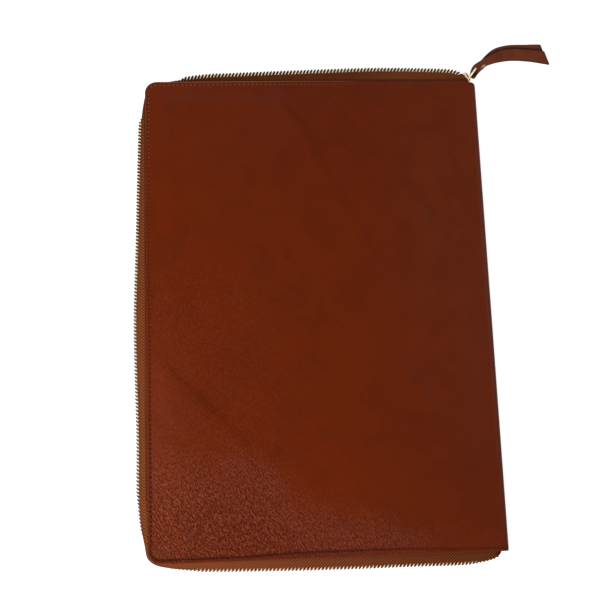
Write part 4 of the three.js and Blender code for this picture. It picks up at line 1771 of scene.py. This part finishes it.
        # A painted highlight streak on the front layer.
        streak = np.ones(edge.shape)
        for value, at, half in zip((t[:, None], edge), self.streak_place, self.streak_half):
            streak = streak * np.exp(-(((value - at) / half) ** 4))
        rub_and_painted_highlight = np.where(back[:, None] | (a > 0), 0.0, streak)
        # Painted shadow on the back layer beside the front layer's edge.
        beyond = aside - width[:, None] / 2
        under = np.where(back[:, None], self.painted_shadow_beyond.at(beyond), 0.0)
        return swept(points, marks={"dark_edge_and_shade": dark_edge_and_shade, "rub_and_painted_highlight": rub_and_painted_highlight, "under": under})

    def stadium(self, width: Array) -> tuple[Array, Array]:
        """The strap's section: flat faces and half round edges.

        Args:
            width: The strap's width at each station.

        Returns:
            Places across and through the strap, stations by section points.
        """
        radius, bulge = self.strap / 2, self.strap / 2 * self.edge_round
        turn = np.linspace(-np.pi / 2, np.pi / 2, self.edge_steps)
        face = np.linspace(-1, 1, self.face_steps)[1:-1]
        b_edge = radius * np.sin(turn)
        flat = width[:, None] / 2 - bulge
        right = flat + bulge * np.cos(turn)
        a = np.concatenate([right, -flat * face, -right, flat * face], axis=1)
        b = np.concatenate([b_edge, np.full(len(face), radius), b_edge[::-1], np.full(len(face), -radius)])
        return a, np.broadcast_to(b, a.shape)

    def build(self) -> None:
        """Makes the ring and the strap."""
        self.ring().piece("pull_ring_wire", self.brass.material(), ["pull_ring"], Slot.BRASS)
        self.strip().piece("pull_strap_leather", self.leather.material(), ["pull_strap"], Slot.STRAP,
                           self.strap_crease_deg)


@dataclass(frozen=True)
class SoftLight:
    """A square soft light that looks at the sleeve's middle."""

    name: str
    place: tuple[float, float, float]
    size: float
    power: float
    colour: Colour = (1.0, 1.0, 1.0)

    def build(self) -> None:
        """Adds the light to the scene."""
        data = bpy.data.lights.new(self.name, "AREA")
        data.shape, data.size, data.energy, data.color = "SQUARE", self.size, self.power, self.colour
        made = bpy.data.objects.new(self.name, data)
        bpy.context.collection.objects.link(made)
        made.location = self.place
        made.rotation_euler = (-Vector(self.place)).to_track_quat("-Z", "Y").to_euler()


@dataclass
class Studio:
    """Pale floor, soft lights, sky and the camera at the photograph's angle."""

    tilt_deg: tuple[float, float, float] = (-11.72, 3.70, 1.99)
    shift_mm: tuple[float, float, float] = (14.2, -7.7, -731.3)
    focal_px: float = 1029.3
    frame_px: float = 600.0
    sensor_mm: float = 36.0
    clip: tuple[float, float] = (0.01, 50.0)
    floor_side: float = 8.0
    floor_drop: float = 1e-4
    floor_tone: Colour = (0.30, 0.30, 0.30)
    floor_glow: float = 0.88
    floor_roughness: float = 0.9
    floor_gloss: float = 0.1
    sky: Fade = Fade(0.05, 0.75, 0.50, 0.04)
    lights: tuple[SoftLight, ...] = (
        SoftLight("key light", (-0.95, -0.95, 0.95), 0.8, 42.0),
        SoftLight("side light", (1.20, 0.25, 0.90), 0.8, 9.0),
        SoftLight("far light", (-0.40, 1.20, 0.90), 0.8, 7.0),
    )

    def camera(self) -> None:
        """Places the camera: it is turned by Rx Ry Rz undone and stands at minus that turn of the shift."""
        x, y, z = (np.radians(a) for a in self.tilt_deg)
        turn = Matrix.Rotation(x, 3, "X") @ Matrix.Rotation(y, 3, "Y") @ Matrix.Rotation(z, 3, "Z")
        back = turn.transposed()
        data = bpy.data.cameras.new("camera")
        data.sensor_fit, data.sensor_width = "HORIZONTAL", self.sensor_mm
        data.lens = self.focal_px / self.frame_px * data.sensor_width
        data.clip_start, data.clip_end = self.clip
        made = bpy.data.objects.new("camera", data)
        bpy.context.collection.objects.link(made)
        made.matrix_world = Matrix.Translation(-(back @ (Vector(self.shift_mm) * MM))) @ back.to_4x4()
        bpy.context.scene.camera = made

    def floor(self) -> None:
        """Lays the floor just under the sleeve."""
        half, low = self.floor_side / 2, -self.floor_drop
        mesh = bpy.data.meshes.new("floor")
        mesh.from_pydata([(-half, -half, low), (half, -half, low), (half, half, low), (-half, half, low)], [],
                         [(0, 1, 2, 3)])
        draw = Shading("pale floor")
        draw.material.cycles.emission_sampling = "NONE"
        mesh.materials.append(draw.finish(
            base_color=(*self.floor_tone, 1.0), roughness=self.floor_roughness,
            specular_ior_level=self.floor_gloss, emission_color=(1.0, 1.0, 1.0, 1.0),
            emission_strength=self.floor_glow))
        made = bpy.data.objects.new("floor", mesh)
        bpy.context.collection.objects.link(made)

    def sky_light(self) -> None:
        """Lights the scene from a sky that is pale at the horizon and dim overhead."""
        world = bpy.data.worlds.new("studio sky")
        world.use_nodes = True
        tree = world.node_tree
        place = tree.nodes.new("ShaderNodeTexCoord")
        split = tree.nodes.new("ShaderNodeSeparateXYZ")
        fall = tree.nodes.new("ShaderNodeMapRange")
        fall.interpolation_type = "SMOOTHSTEP"
        tree.links.new(place.outputs["Generated"], split.inputs[0])
        tree.links.new(split.outputs[2], fall.inputs["Value"])
        for key, value in self.sky.sockets().items():
            fall.inputs[key].default_value = value
        tree.links.new(fall.outputs[0], tree.nodes["Background"].inputs["Strength"])
        tree.nodes["Background"].inputs["Color"].default_value = (1.0, 1.0, 1.0, 1.0)
        bpy.context.scene.world = world

    def build(self) -> None:
        """Makes the whole studio."""
        bpy.context.scene.view_settings.view_transform = "Standard"
        self.camera()
        self.floor()
        self.sky_light()
        for light in self.lights:
            light.build()
            LOG.info("%s: %.0f W", light.name, light.power)


def main() -> None:
    """Loads the frame and dresses it piece by piece."""
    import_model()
    logging.basicConfig(level=logging.INFO, format="%(name)s: %(message)s")
    for assembly in (Studio(), LeatherCover(), Zip(), Pull()):
        assembly.build()


if __name__ == "__main__":
    main()
